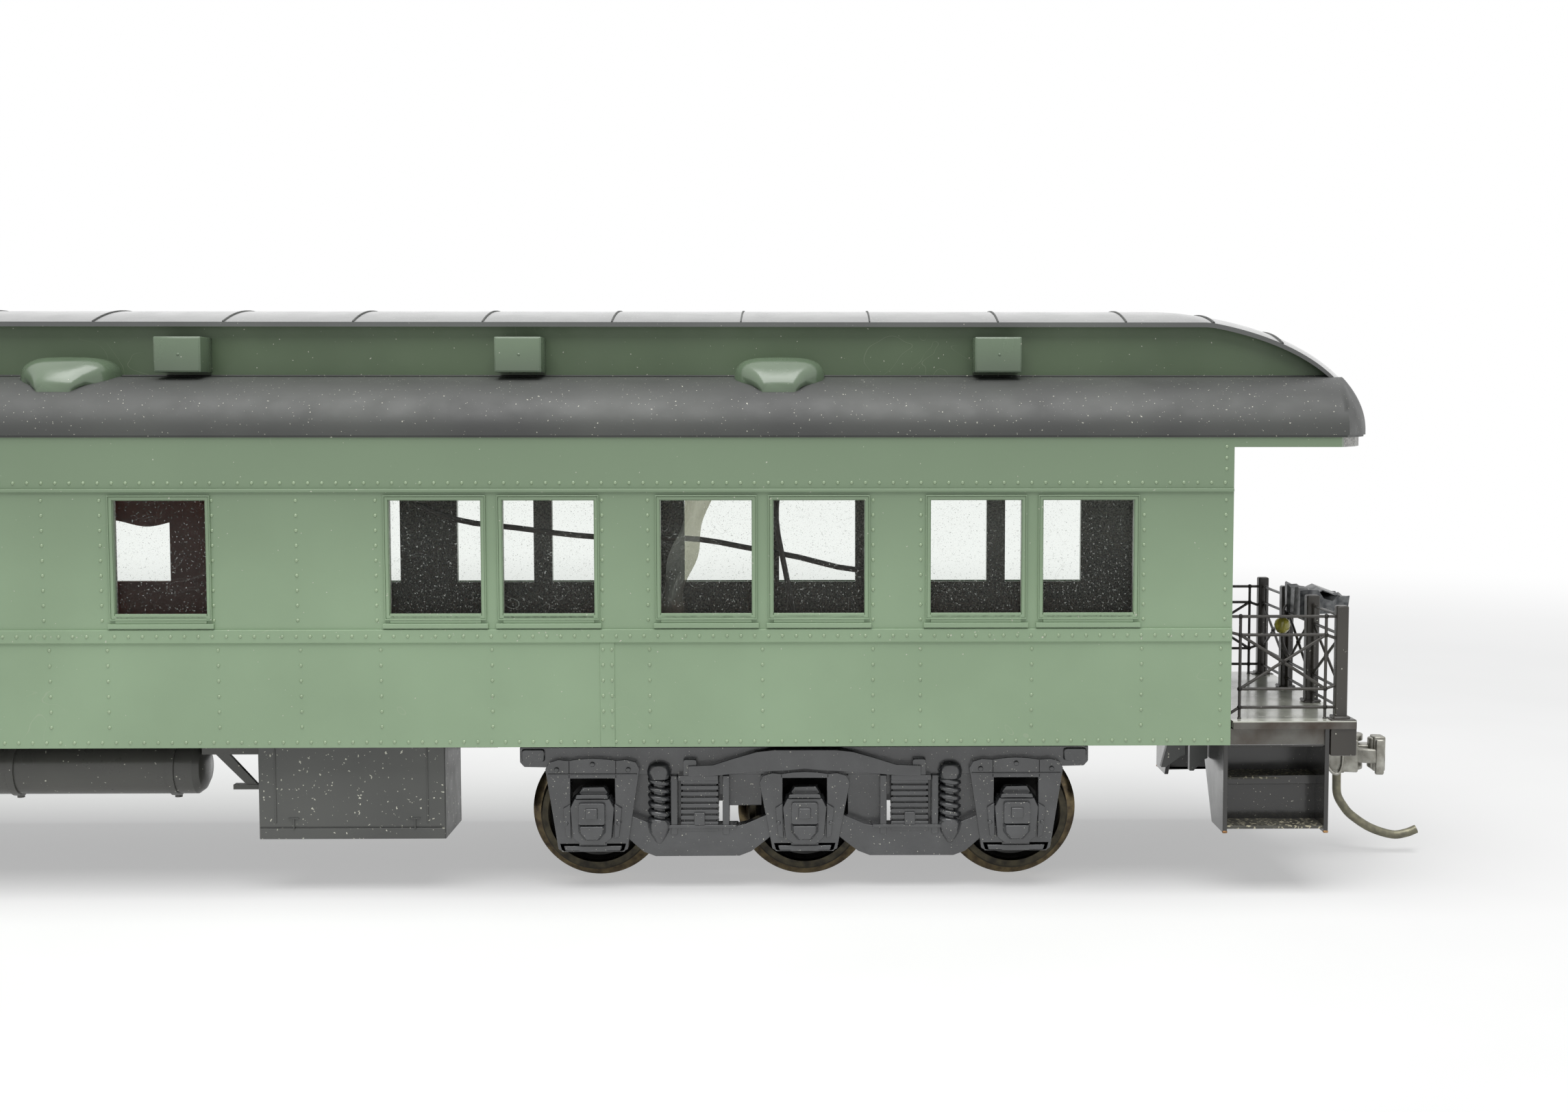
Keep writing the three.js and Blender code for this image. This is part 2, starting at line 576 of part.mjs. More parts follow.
function couplerBox() {
  const half = boxHalf - boxWall;
  const cavityZ = [boxLowZ + boxWall, padZ - boxWall];
  const outer = box([boxRearX, boxFrontX], [-boxHalf, boxHalf], [boxLowZ, padZ]);
  const cavity = box([boxRearX + boxWall, boxFrontX + 1], [-half, half], cavityZ);
  return outer.subtract(cavity).add(rod(axisZ, pivotRadius, [boxLowZ + 0.1, padZ - 0.1], [pivotX, 0, 0], 16));
}

// Two light arms along the box walls, joined behind the shank.
function centringSpring() {
  const half = boxHalf - boxWall - 0.1;
  const z = [coupleZ - 0.6, coupleZ + 0.6];
  const x0 = boxRearX + boxWall + 0.1;
  const arms = [-1, 1].map((side) => box([x0, boxFrontX - 0.4],
    side > 0 ? [half - 0.15, half] : [-half, -half + 0.15], z));
  return join([...arms, box([x0, x0 + 0.15], [-half, half], z)]);
}

const headX = [deckEndX + 1.6, kneeX + 0.3];
const headZ = [8.4, 12.05];

function couplerHead() {
  const z = [coupleZ - shankHeight / 2, coupleZ + shankHeight / 2];
  const eye = rod(axisZ, 1.9, z, [pivotX, 0, 0], 20);
  const shank = box([pivotX, headX[0] + 1], [-shankHalf, shankHalf], z);
  const head = prismZ([[headX[0], -1.5], [headX[0] + 3, -1.8], [headX[1] - 0.6, -2.3],
    [headX[1] + 1.9, -3.1], [headX[1] + 1.9, -2.4], [headX[1] - 0.4, -1], [headX[1] - 0.4, 0.3],
    [kneeX - 0.9, 0.3], [kneeX - 0.9, 2.2], [headX[0] + 2, 2.2], [headX[0], 1.5]], headZ);
  const lugs = [[headZ[0], coupleZ - 1.1], [coupleZ + 1.1, headZ[1]]].map((range) => rod(
    axisZ, 1.05, range, [kneeX, kneeY, 0], 16).add(box([kneeX - 1.2, kneeX], [kneeY - 1, kneeY + 1], range)));
  const pin = rod(axisZ, 0.35, [headZ[0] + 0.1, headZ[1] - 0.1], [kneeX, kneeY, 0], 12);
  const hole = rod(axisZ, pivotRadius + clearance, [0, 20], [pivotX, 0, 0], 16);
  const room = rod(axisZ, 1.35, [coupleZ - 1.1, coupleZ + 1.1], [kneeX, kneeY, 0], 16);
  return join([eye, shank, head, ...lugs]).subtract(join([hole, room])).add(pin);
}

function knuckle() {
  const z = [coupleZ - 0.8, coupleZ + 0.8];
  const hub = rod(axisZ, 1.05, z, [kneeX, kneeY, 0], 16);
  const arm = prismZ([[kneeX, kneeY - 0.9], [kneeX + 1.8, kneeY - 1.2], [kneeX + 2.3, kneeY - 2.6],
    [kneeX + 2.8, kneeY - 2.2], [kneeX + 2.75, kneeY - 0.4], [kneeX + 2, kneeY + 0.7],
    [kneeX, kneeY + 1]], z);
  const face = box([kneeX + 1.9, kneeX + 2.75], [kneeY - 1.9, kneeY - 0.5], headZ);
  const bore = rod(axisZ, 0.35 + clearance / 2, [0, 20], [kneeX, kneeY, 0], 12);
  return join([hub, arm, face]).subtract(bore);
}

// The curved steel pin under the head that works as the uncoupling lever.
const pinFoot = headZ[0] - clearance;
const tripPoints = [[kneeX - 1.7, 0.4, pinFoot], [kneeX - 1.6, 0.4, 5.9], [kneeX - 0.1, 0.4, 3.85],
  [kneeX + 1.8, 0.4, 2.52], [kneeX + 4, 0.4, 1.75], [kneeX + 6.4, 0.4, 2.3]];

const rearDraft = new THREE.Group();
const frontDraft = new THREE.Group();
frontDraft.rotation.z = Math.PI;
frontDraft.position.x = platformLength - 0.4 - clearance;
coach.add(rearDraft, frontDraft);
for (const [name, parent] of [['rear', rearDraft], ['front', frontDraft]]) {
  place(`${name}_coupler_box`, couplerBox(), underBlack, parent);
  place(`${name}_centring_spring`, centringSpring(), brass, parent);
  place(`${name}_coupler_head`, couplerHead(), couplerMetal, parent);
  place(`${name}_knuckle`, knuckle(), couplerMetal, parent);
  place(`${name}_trip_pin`, tubeAlong(tripPoints, 0.43, 8, 14), wheelMetal, parent);
}

// ---- trucks ----------------------------------------------------------------------------
// Built about the truck's own centre at X = 0, and placed by a group.
const axleXs = [-wheelbaseHalf, 0, wheelbaseHalf];
const frameInY = sideFrameOut - sideFrameThickness;
const journalEnd = frameInY + 1;
const truckBarHalf = wheelbaseHalf + truckBarReach;
const transomX = wheelbaseHalf / 2;
const transomHalf = transomX - flangeDiameter / 2 - transomRoom;

function truckFrame() {
  const spine = box([-transomX - 3, transomX + 3], [-backToBack / 2 + 0.9, backToBack / 2 - 0.9], truckPlateZ);
  const transoms = [-1, 1].map((end) => box([end * transomX - transomHalf, end * transomX + transomHalf],
    [-frameInY, frameInY], [8.6, truckPlateZ[1]]));
  const hole = rod(axisZ, kingpinRadius + clearance, [0, 20], [0, 0, 0], 16);
  return join([spine, ...transoms]).subtract(hole);
}

// Pedestal plate that hangs over one axle box.
const pedestal = (x, halfTop, halfBottom, topZ) =>
  [[x - halfBottom, 3.65], [x + halfBottom, 3.65], [x + halfTop, topZ], [x - halfTop, topZ]];

function sideFrame(side) {
  const across = (y0, y1) => (side > 0 ? [y0, y1] : [-y1, -y0]);
  const plane = across(frameInY, sideFrameOut - 0.7);
  const proud = across(frameInY, sideFrameOut);
  const topBar = prismY([[-truckBarHalf, 11.6], [-truckBarHalf + 4, 10.6], [truckBarHalf - 4, 10.6],
    [truckBarHalf, 11.6], [truckBarHalf, truckTopZ], [-truckBarHalf, truckTopZ]], plane);
  const outer = [-1, 1].map((end) => prismY(pedestal(end * wheelbaseHalf, 4.35, 3.1, 12.2), proud));
  const middle = prismY(pedestal(0, 4.45, 2.9, 11.1), proud);
  const equalizers = [-1, 1].map((end) => {
    const from = end * wheelbaseHalf;
    const run = [[from - end * 2.6, 4.4], [from - end * 6, 3], [end * 6, 3], [end * 2.4, 4.4],
      [end * 2.4, 6], [end * 6, 5.2], [from - end * 6.4, 5.2], [from - end * 2.6, 6]];
    return prismY(end > 0 ? run.reverse() : run, plane);
  });
  const springZ = [5, 10.8];
  const coilX = transomX + transomHalf + springRadius + 0.1;
  const beside = (end, near, far) => box(end > 0 ? [transomX + near, transomX + far]
    : [-transomX - far, -transomX - near], plane, springZ);
  const springs = [-1, 1].flatMap((end) => [
    rod(axisZ, springRadius, springZ, [end * coilX, side * (frameInY + 1), 0], 10),
    beside(end, -1.6, 1.8), beside(end, -2.9, -2.1)]);
  const sockets = axleXs.map((x) => rod(axisY, journalRadius + clearance,
    across(frameInY - 1, journalEnd + clearance), [x, 0, wheelZ], 12));
  const slots = axleXs.map((x) => box([x - 2.05, x + 2.05], across(frameInY - 1, sideFrameOut + 1), [8.84, 10.5]));
  return join([topBar, ...outer, middle, ...equalizers, ...springs]).subtract(join([...sockets, ...slots]));
}

// Flats of the round facets are set to the true radius, so the wheel stands at its real height.
const wheelSegments = 24;
const facet = 1 / Math.cos(Math.PI / wheelSegments);

function wheel(side) {
  const flange = (flangeDiameter / 2) * facet;
  const tread = (treadDiameter / 2) * facet;
  const bore = axleRadius + pressGap;
  const profile = [[bore, 0], [flange - 0.3, 0], [flange, 0.35], [tread + 0.1, flangeWidth],
    [tread - 0.1, wheelWidth], [tread - 1, wheelWidth], [bore, wheelWidth - 0.7], [bore, 0]];
  const outward = side > 0 ? axisY : axisY.clone().negate();
  const turn = turned(profile, axisY, [0, 0, 0], wheelSegments).rotate([0, 180 / wheelSegments, 0]);
  const facing = outward === axisY ? turn : turn.rotate([180, 0, 0]);
  return facing.translate([0, side * (backToBack / 2), wheelZ]);
}

function axle() {
  const neck = backToBack / 2 + wheelWidth + 0.4;
  const profile = [[0, -journalEnd], [journalRadius, -journalEnd + 0.4], [journalRadius, -neck],
    [axleRadius, -neck + 0.3], [axleRadius, neck - 0.3], [journalRadius, neck],
    [journalRadius, journalEnd - 0.4], [0, journalEnd]];
  return turned(profile, axisY, [0, 0, wheelZ], 12);
}

for (const [truck, x, outwards] of [['rear', truckX, 1], ['front', -truckX, -1]]) {
  const group = new THREE.Group();
  group.position.x = x;
  coach.add(group);
  place(`${truck}_truck_frame`, truckFrame(), underBlack, group);
  place(`${truck}_side_frame_left`, sideFrame(1), underBlack, group);
  place(`${truck}_side_frame_right`, sideFrame(-1), underBlack, group);
  for (const [spot, shift] of [['outer', 1], ['middle', 0], ['inner', -1]]) {
    const dx = outwards * shift * wheelbaseHalf;
    place(`${truck}_${spot}_axle`, axle().translate([dx, 0, 0]), wheelMetal, group);
    place(`${truck}_${spot}_wheel_left`, wheel(1).translate([dx, 0, 0]), wheelMetal, group);
    place(`${truck}_${spot}_wheel_right`, wheel(-1).translate([dx, 0, 0]), wheelMetal, group);
  }
}

// ---- origin: below the middle of everything, on the surface the wheels stand on ---------
coach.updateMatrixWorld(true);
const extent = new THREE.Box3().setFromObject(coach);
coach.position.x = -(extent.min.x + extent.max.x) / 2;
coach.position.y = -(extent.min.y + extent.max.y) / 2;

export default coach;
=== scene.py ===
# %% [markdown]
# # An HO scale observation coach
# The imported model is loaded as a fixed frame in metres. The pieces made here are measured in
# millimetres from the middle of the coach body, as a model maker would, and moved into the frame
# at the end. The shift between the two comes from the two end doors, which are the same distance
# from the body's middle.

# %% Load the frame
import bpy, bmesh, json, math, random
from mathutils import Vector, Matrix


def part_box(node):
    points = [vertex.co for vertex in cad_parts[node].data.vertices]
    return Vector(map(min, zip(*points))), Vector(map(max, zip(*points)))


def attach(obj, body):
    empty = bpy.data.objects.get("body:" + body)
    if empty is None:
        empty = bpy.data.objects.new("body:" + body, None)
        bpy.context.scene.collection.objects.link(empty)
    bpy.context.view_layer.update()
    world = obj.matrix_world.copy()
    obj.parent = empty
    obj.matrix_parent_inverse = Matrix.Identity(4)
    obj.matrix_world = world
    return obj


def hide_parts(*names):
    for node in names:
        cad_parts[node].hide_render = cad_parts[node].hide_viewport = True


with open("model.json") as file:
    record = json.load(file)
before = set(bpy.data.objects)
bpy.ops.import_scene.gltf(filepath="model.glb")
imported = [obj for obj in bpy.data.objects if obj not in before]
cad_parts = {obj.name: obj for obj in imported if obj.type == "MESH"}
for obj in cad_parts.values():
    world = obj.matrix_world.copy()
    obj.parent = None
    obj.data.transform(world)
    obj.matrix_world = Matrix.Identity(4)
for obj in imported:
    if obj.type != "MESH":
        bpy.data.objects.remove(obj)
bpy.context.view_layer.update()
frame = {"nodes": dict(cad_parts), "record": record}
MM = 0.001
middle = (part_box("rear_door")[0].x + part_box("front_door")[1].x) / 2


def node_box(name):
    """A node's corners in millimetres from the middle of the body."""
    return [Vector((c.x - middle, c.y, c.z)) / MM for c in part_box(name)]


print("frame:", len(frame["nodes"]), "nodes, middle of the body at", round(middle / MM, 2), "mm")

# %% [markdown]
# Colours are picked as sRGB hex values, the way a paint chart gives them, but a shader works in
# linear light, so one function converts them. A second small function adds any node, sets its
# values and links its inputs, so that a material or a geometry tree reads as a list of steps.

# %% Colour and node helpers
def linear(hex_colour):
    parts = [int(hex_colour[i:i + 2], 16) / 255 for i in (1, 3, 5)]
    return [c / 12.92 if c <= 0.04045 else ((c + 0.055) / 1.055) ** 2.4 for c in parts] + [1.0]


def add(tree, kind, settings=None, **inputs):
    """Adds a node. Inputs are values or sockets; i3 means the fourth socket."""
    node = tree.nodes.new(kind)
    for name, value in (settings or {}).items():
        setattr(node, name, value)
    for name, value in inputs.items():
        key = int(name[1:]) if name[0] == "i" and name[1:].isdigit() else name.replace("_", " ")
        socket = node.inputs[key]
        if isinstance(value, bpy.types.NodeSocket):
            tree.links.new(value, socket)
        else:
            socket.default_value = value
    return node


def new_material(name):
    material = bpy.data.materials.new(name)
    material.use_nodes = True
    material.node_tree.nodes.clear()
    return material, material.node_tree


def finish_surface(tree, bump=None, strength=0.3, depth_mm=0.02, **values):
    shader = add(tree, "ShaderNodeBsdfPrincipled", **values)
    if bump is not None:
        height = add(tree, "ShaderNodeBump", Strength=strength, Distance=depth_mm * MM, Height=bump)
        tree.links.new(height.outputs[0], shader.inputs["Normal"])
    out = add(tree, "ShaderNodeOutputMaterial")
    tree.links.new(shader.outputs[0], out.inputs["Surface"])
    return shader


def speckle(tree, coords, size_mm, low, high, detail=2.0):
    """Noise with features of a real size, cut to 0..1 between two levels."""
    field = add(tree, "ShaderNodeTexNoise", Vector=coords, Scale=1 / (size_mm * MM), Detail=detail)
    return add(tree, "ShaderNodeMapRange", Value=field.outputs[0], From_Min=low,
               From_Max=high).outputs[0]


def blend_colours(tree, factor, a, b):
    mix = add(tree, "ShaderNodeMix", {"data_type": "RGBA"}, i0=factor)
    for key, value in ((6, a), (7, b)):
        if isinstance(value, bpy.types.NodeSocket):
            tree.links.new(value, mix.inputs[key])
        else:
            mix.inputs[key].default_value = linear(value)
    return mix.outputs[2]


print("helpers ready; mid grey is", round(linear("#808080")[0], 3))

# %% [markdown]
# ## Paint
# The body is painted brass sheet. Sprayed enamel is satin, with a very fine orange peel, slow
# changes of tone, hair scratches and pale dust specks that settle on it. Dust is noise cut at a
# high level, which leaves only small separate spots. Real dust is finer than a tenth of a
# millimetre, and is drawn coarser here so that it shows.

# %% Painted sheet and castings
def paint(name, base, light, roughness, dust=0.73, dust_colour="#c9c8ba", dust_mm=0.3, peel=0.25,
          coat=0.0, patch_mm=14.0, lining_inside=None, scratches=False, film_mm=None):
    material, tree = new_material(name)
    coords = add(tree, "ShaderNodeTexCoord").outputs["Object"]
    patches = speckle(tree, coords, patch_mm, 0.35, 0.65, 3.0)
    colour = blend_colours(tree, patches, base, light)
    if film_mm:
        # Painted shade: the side is darkened towards the eave and stays paler towards the sill, where
        # more light falls on it.
        height = add(tree, "ShaderNodeSeparateXYZ", Vector=coords).outputs["Z"]
        deep = add(tree, "ShaderNodeMapRange", {"interpolation_type": "SMOOTHSTEP"}, Value=height,
                   From_Min=film_mm[0] * MM, From_Max=film_mm[1] * MM, To_Max=0.75)
        colour = blend_colours(tree, deep.outputs[0], colour, film_mm[2])
    if lining_inside is not None:
        # Everything nearer the middle line than the sheet's inner face is dusty primer. The end
        # walls and doors lie there too, so they take it as well.
        split = add(tree, "ShaderNodeSeparateXYZ", Vector=coords)
        across = add(tree, "ShaderNodeMath", {"operation": "ABSOLUTE"}, i0=split.outputs["Y"])
        inner = add(tree, "ShaderNodeMath", {"operation": "LESS_THAN"}, i0=across.outputs[0],
                    i1=lining_inside * MM)
        grain = speckle(tree, coords, 0.2, 0.42, 0.62, 1.0)
        lining = blend_colours(tree, grain, "#5b5b58", "#a9a99f")
        colour = blend_colours(tree, inner.outputs[0], colour, lining)
    if scratches:
        # A bent thread of noise: only a thin band about one level is drawn.
        bend = add(tree, "ShaderNodeTexNoise", Vector=coords, Scale=1 / (6 * MM), Detail=1.0,
                   Distortion=1.5)
        near = add(tree, "ShaderNodeMath", {"operation": "COMPARE"}, i0=bend.outputs[0], i1=0.58,
                   i2=0.0035)
        where = speckle(tree, coords, 11.0, 0.6, 0.66, 1.0)
        hair = add(tree, "ShaderNodeMath", {"operation": "MULTIPLY"}, i0=near.outputs[0], i1=where)
        faint = add(tree, "ShaderNodeMath", {"operation": "MULTIPLY"}, i0=hair.outputs[0], i1=0.2)
        colour = blend_colours(tree, faint.outputs[0], colour, "#b9bda9")
    spots = speckle(tree, coords, dust_mm, dust, dust + 0.03, 1.0)
    colour = blend_colours(tree, spots, colour, dust_colour)
    wear = speckle(tree, coords, 2.5, 0.3, 0.7, 4.0)
    rough = add(tree, "ShaderNodeMapRange", Value=wear, To_Min=roughness - 0.06,
                To_Max=roughness + 0.08).outputs[0]
    orange_peel = speckle(tree, coords, 0.4, 0.2, 0.8, 3.0)
    finish_surface(tree, orange_peel, peel, 0.02, Base_Color=colour, Roughness=rough,
                   Coat_Weight=coat, Coat_Roughness=0.18)
    return material


# The coach green carries painted shade: it darkens towards the eave, from 22 mm to 42 mm above the
# rail.
green_enamel = paint("coach_green_enamel", "#8ca384", "#94ac8c", 0.42, dust=0.76, coat=0.15,
                     lining_inside=16.9, scratches=True, film_mm=(22.0, 42.0, "#73856c"))
rivet_enamel = paint("rivet_green_enamel", "#91a685", "#a0b593", 0.2, dust=0.8, coat=0.6)
vent_enamel = paint("vent_green_enamel", "#62735d", "#6e8068", 0.22, dust=0.78, coat=0.4)
# The clerestory takes a darker copy of the coach green: painted shade under the upper deck's overhang.
clerestory_shaded_enamel = paint("clerestory_green_enamel", "#53644b", "#607257", 0.4, dust=0.74,
                          scratches=True)
roof_enamel = paint("roof_black_enamel", "#3f403f", "#4c4e4b", 0.52, dust=0.74, dust_mm=0.2)
deck_top_enamel = paint("roof_gloss_black_enamel", "#4e4f4e", "#5c5f5c", 0.2, dust=0.74,
                        dust_mm=0.2, coat=0.8)
under_enamel = paint("underframe_black_enamel", "#3f413f", "#4e504e", 0.3, dust=0.73, coat=0.2)
truck_enamel = paint("truck_black_enamel", "#333436", "#434446", 0.2, dust=0.73, dust_mm=0.18,
                     peel=0.9, coat=1.0, patch_mm=3.0)
step_enamel = paint("step_gloss_black_enamel", "#232322", "#2e2d2b", 0.18, dust=0.75, dust_mm=0.2,
                    coat=0.5)
rail_enamel = paint("railing_thin_black_enamel", "#322f2c", "#43403b", 0.3, dust=0.74)
deck_enamel = paint("deck_dusty_enamel", "#c4c6ba", "#dbddcf", 0.2, dust=0.66, coat=0.3,
                    patch_mm=4.0)
print("paints:", len(bpy.data.materials))

# %% [markdown]
# ## Metals, glass and the rest
# The wheels are chemically blackened steel, with the black worn down to a bronze tone on the
# flange. The coupler is a bare zinc casting. The glazing is clear styrene sheet: a thin film of
# glass would cost many bounces, so it is a sheet that mostly lets light straight through, with
# scratches and dust on it.

# %% Bare metals and clear sheet
def bare_metal(name, base, light, roughness, grain_mm=0.5, bump=0.25, metallic=1.0):
    material, tree = new_material(name)
    coords = add(tree, "ShaderNodeTexCoord").outputs["Object"]
    grain = speckle(tree, coords, grain_mm, 0.35, 0.65, 4.0)
    colour = blend_colours(tree, grain, base, light)
    spread = speckle(tree, coords, grain_mm * 3, 0.3, 0.7, 3.0)
    rough = add(tree, "ShaderNodeMapRange", Value=spread, To_Min=roughness - 0.08,
                To_Max=roughness + 0.1).outputs[0]
    fine = speckle(tree, coords, 0.15, 0.2, 0.8, 2.0)
    finish_surface(tree, fine, bump, 0.01, Base_Color=colour, Roughness=rough, Metallic=metallic)
    return material


blackened_steel = bare_metal("blackened_steel", "#2c2b2a", "#3a3937", 0.3, metallic=0.6)
worn_flange = bare_metal("worn_bronze_flange", "#4a4238", "#70644c", 0.24, grain_mm=0.8)
zinc_casting = bare_metal("bare_zinc_casting", "#8c8a82", "#b1b0a8", 0.42, grain_mm=0.9, bump=0.5)
pin_steel = bare_metal("dull_trip_pin_steel", "#6c6a5e", "#85826f", 0.45, grain_mm=0.7)
brass_sheet = bare_metal("bare_brass_edge", "#7d5a3a", "#a9855a", 0.35)
sign_sheet = bare_metal("crumpled_grey_sheet", "#45474a", "#77797a", 0.32, grain_mm=0.6, bump=0.8,
                        metallic=0.5)
brown_liner = paint("red_brown_liner", "#ac5f4d", "#c06f5a", 0.6, dust=0.8, peel=0.1)
grey_lead = paint("grey_lead_insulation", "#605f5c", "#767470", 0.5, dust=0.8, peel=0.1)


def clear_sheet(name, tint, scratch_level, veil):
    material, tree = new_material(name)
    coords = add(tree, "ShaderNodeTexCoord").outputs["Object"]
    bend = add(tree, "ShaderNodeTexNoise", Vector=coords, Scale=1 / (7 * MM), Detail=0.0,
               Distortion=2.2)
    line = add(tree, "ShaderNodeMath", {"operation": "COMPARE"}, i0=bend.outputs[0], i1=0.5,
               i2=scratch_level)
    patch = speckle(tree, coords, 5.0, 0.5, 0.6, 1.0)
    hair = add(tree, "ShaderNodeMath", {"operation": "MULTIPLY"}, i0=line.outputs[0], i1=patch)
    spots = speckle(tree, coords, 0.16, 0.69, 0.73, 1.0)
    marks = add(tree, "ShaderNodeMath", {"operation": "MAXIMUM"}, i0=hair.outputs[0], i1=spots)
    body = add(tree, "ShaderNodeMapRange", Value=marks.outputs[0], To_Min=veil, To_Max=0.45)
    clear = add(tree, "ShaderNodeBsdfTransparent", Color=linear(tint))
    sheet = add(tree, "ShaderNodeBsdfPrincipled", Base_Color=linear("#dfe2dd"), Roughness=0.08)
    mix = add(tree, "ShaderNodeMixShader", i0=body.outputs[0], i1=clear.outputs[0],
              i2=sheet.outputs[0])
    add(tree, "ShaderNodeOutputMaterial", Surface=mix.outputs[0])
    return material


glazing_sheet = clear_sheet("clear_styrene_glazing", "#fdfefd", 0.0007, 0.02)
curled_film = clear_sheet("clear_curled_film", "#e2e2d6", 0.03, 0.28)
battery_enamel = paint("battery_box_enamel", "#4b4c4a", "#575855", 0.34, dust=0.71, coat=0.15)
tank_enamel = paint("reservoir_enamel", "#3d3d3a", "#4e4e49", 0.3, dust=0.74, coat=0.25)
tread_grit = paint("gritty_step_tread", "#3b3934", "#55544b", 0.45, dust=0.6, dust_mm=0.3,
                   dust_colour="#b3ad95", patch_mm=3.0)
riser_worn = bare_metal("worn_brown_sill", "#443a32", "#6c6b66", 0.28, grain_mm=4.0, metallic=0.4)
bulb_glass, tree = new_material("yellow_green_bulb_glass")
coords = add(tree, "ShaderNodeTexCoord").outputs["Object"]
swirl = speckle(tree, coords, 0.8, 0.35, 0.65, 3.0)
finish_surface(tree, swirl, 0.3, 0.02, Base_Color=blend_colours(tree, swirl, "#a8a432", "#d2c85c"),
               Roughness=0.12, Transmission_Weight=0.35, IOR=1.5, Coat_Weight=0.5)
print("materials:", [m.name for m in bpy.data.materials][-6:])

# %% [markdown]
# ## Shaping helpers
# Every piece is drawn in a mesh of its own with four plain tools: a block, a plate cut to an
# outline, a turned shape and a bent wire. One last function moves the mesh into the frame, rounds
# its edges with a Bevel, and says which body it rides on.

# %% Blocks, plates, turned shapes and wires
def block(bm, low, high, finish=0):
    corners = [Vector((x, y, z)) for x in (low[0], high[0]) for y in (low[1], high[1])
               for z in (low[2], high[2])]
    v = [bm.verts.new(c) for c in corners]
    for ids in ((0, 1, 3, 2), (4, 6, 7, 5), (0, 4, 5, 1), (2, 3, 7, 6), (0, 2, 6, 4), (1, 5, 7, 3)):
        bm.faces.new([v[i] for i in ids]).material_index = finish
    return v


def plate(bm, outline, y0, y1, finish=0, inset=0.0):
    """A plate cut to an outline in X and Z. The face at y1 can be smaller by an inset."""
    centre = Vector((sum(p[0] for p in outline), 0, sum(p[1] for p in outline))) / len(outline)
    rings = []
    for y, shrink in ((y0, 0.0), (y1, inset)):
        ring = []
        for x, z in outline:
            out = Vector((x, 0, z)) - centre
            keep = 1 - shrink / max(out.length, shrink + 1e-6)
            ring.append(bm.verts.new((centre.x + out.x * keep, y, centre.z + out.z * keep)))
        rings.append(ring)
    bm.faces.new(rings[0]).material_index = finish
    bm.faces.new(list(reversed(rings[1]))).material_index = finish
    for i in range(len(outline)):
        j = (i + 1) % len(outline)
        side = bm.faces.new((rings[0][j], rings[0][i], rings[1][i], rings[1][j]))
        side.material_index = finish
    return rings


def turned(bm, profile, axis, at, segments=32, finishes=None):
    """Turns a closed [radius, height] profile. It starts and ends on the axis, or is a ring."""
    axis = Vector(axis).normalized()
    side = axis.orthogonal().normalized()
    up = axis.cross(side)
    rings = []
    for radius, height in profile:
        if radius < 1e-6:
            rings.append([bm.verts.new(Vector(at) + axis * height)])
            continue
        rings.append([bm.verts.new(Vector(at) + axis * height + (side * math.cos(a)
                      + up * math.sin(a)) * radius)
                      for a in (2 * math.pi * i / segments for i in range(segments))])
    ring_shaped = profile[0][0] > 1e-6
    count = len(rings) if ring_shaped else len(rings) - 1
    for k in range(count):
        a, b = rings[k], rings[(k + 1) % len(rings)]
        for i in range(segments):
            j = (i + 1) % segments
            corners = ([a[0]] if len(a) == 1 else [a[i], a[j]]) + \
                      ([b[0]] if len(b) == 1 else [b[j], b[i]])
            if len(corners) > 2:
                bm.faces.new(corners).material_index = finishes[k] if finishes else 0


def smooth_path(points, steps):
    """A Catmull-Rom curve through the points."""
    p = [Vector(q) for q in points]
    p = [2 * p[0] - p[1]] + p + [2 * p[-1] - p[-2]]
    out = []
    for i in range(1, len(p) - 2):
        for s in range(steps):
            t = s / steps
            out.append(0.5 * (2 * p[i] + (p[i + 1] - p[i - 1]) * t
                              + (2 * p[i - 1] - 5 * p[i] + 4 * p[i + 1] - p[i + 2]) * t * t
                              + (3 * p[i] - p[i - 1] - 3 * p[i + 1] + p[i + 2]) * t ** 3))
    return out + [p[-2]]


def wire(bm, points, radius, sides=10, finish=0):
    """A round wire along the points, with flat ends."""
    points = [Vector(p) for p in points]
    side = (points[1] - points[0]).orthogonal().normalized()
    rings = []
    for i, point in enumerate(points):
        ahead = (points[min(i + 1, len(points) - 1)] - points[max(i - 1, 0)]).normalized()
        side = (side - ahead * side.dot(ahead)).normalized()
        up = ahead.cross(side)
        rings.append([bm.verts.new(point + (side * math.cos(a) + up * math.sin(a)) * radius)
                      for a in (2 * math.pi * k / sides for k in range(sides))])
    for a, b in zip(rings, rings[1:]):
        for k in range(sides):
            m = (k + 1) % sides
            bm.faces.new((a[k], a[m], b[m], b[k])).material_index = finish
    bm.faces.new(list(reversed(rings[0]))).material_index = finish
    bm.faces.new(rings[-1]).material_index = finish


def settle(name, mesh, finishes, body, stands_for=(), bevel=0.0, in_frame=False):
    """Moves a mesh in millimetres into the frame, finishes it and lets it ride on its body."""
    if not in_frame:
        mesh.transform(Matrix.Translation((middle, 0, 0)) @ Matrix.Scale(MM, 4))
    for finish in finishes if not mesh.materials else ():
        mesh.materials.append(finish)
    piece = bpy.data.objects.new(name, mesh)
    bpy.context.scene.collection.objects.link(piece)
    mesh.shade_smooth()
    if bevel:
        rounding = piece.modifiers.new("rounded edges", "BEVEL")
        rounding.width, rounding.segments, rounding.limit_method = bevel * MM, 2, "ANGLE"
        rounding.angle_limit = math.radians(38)
        piece.modifiers.new("flat faces stay flat", "WEIGHTED_NORMAL").keep_sharp = False
    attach(piece, body)
    if stands_for:
        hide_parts(*stands_for)
    return piece


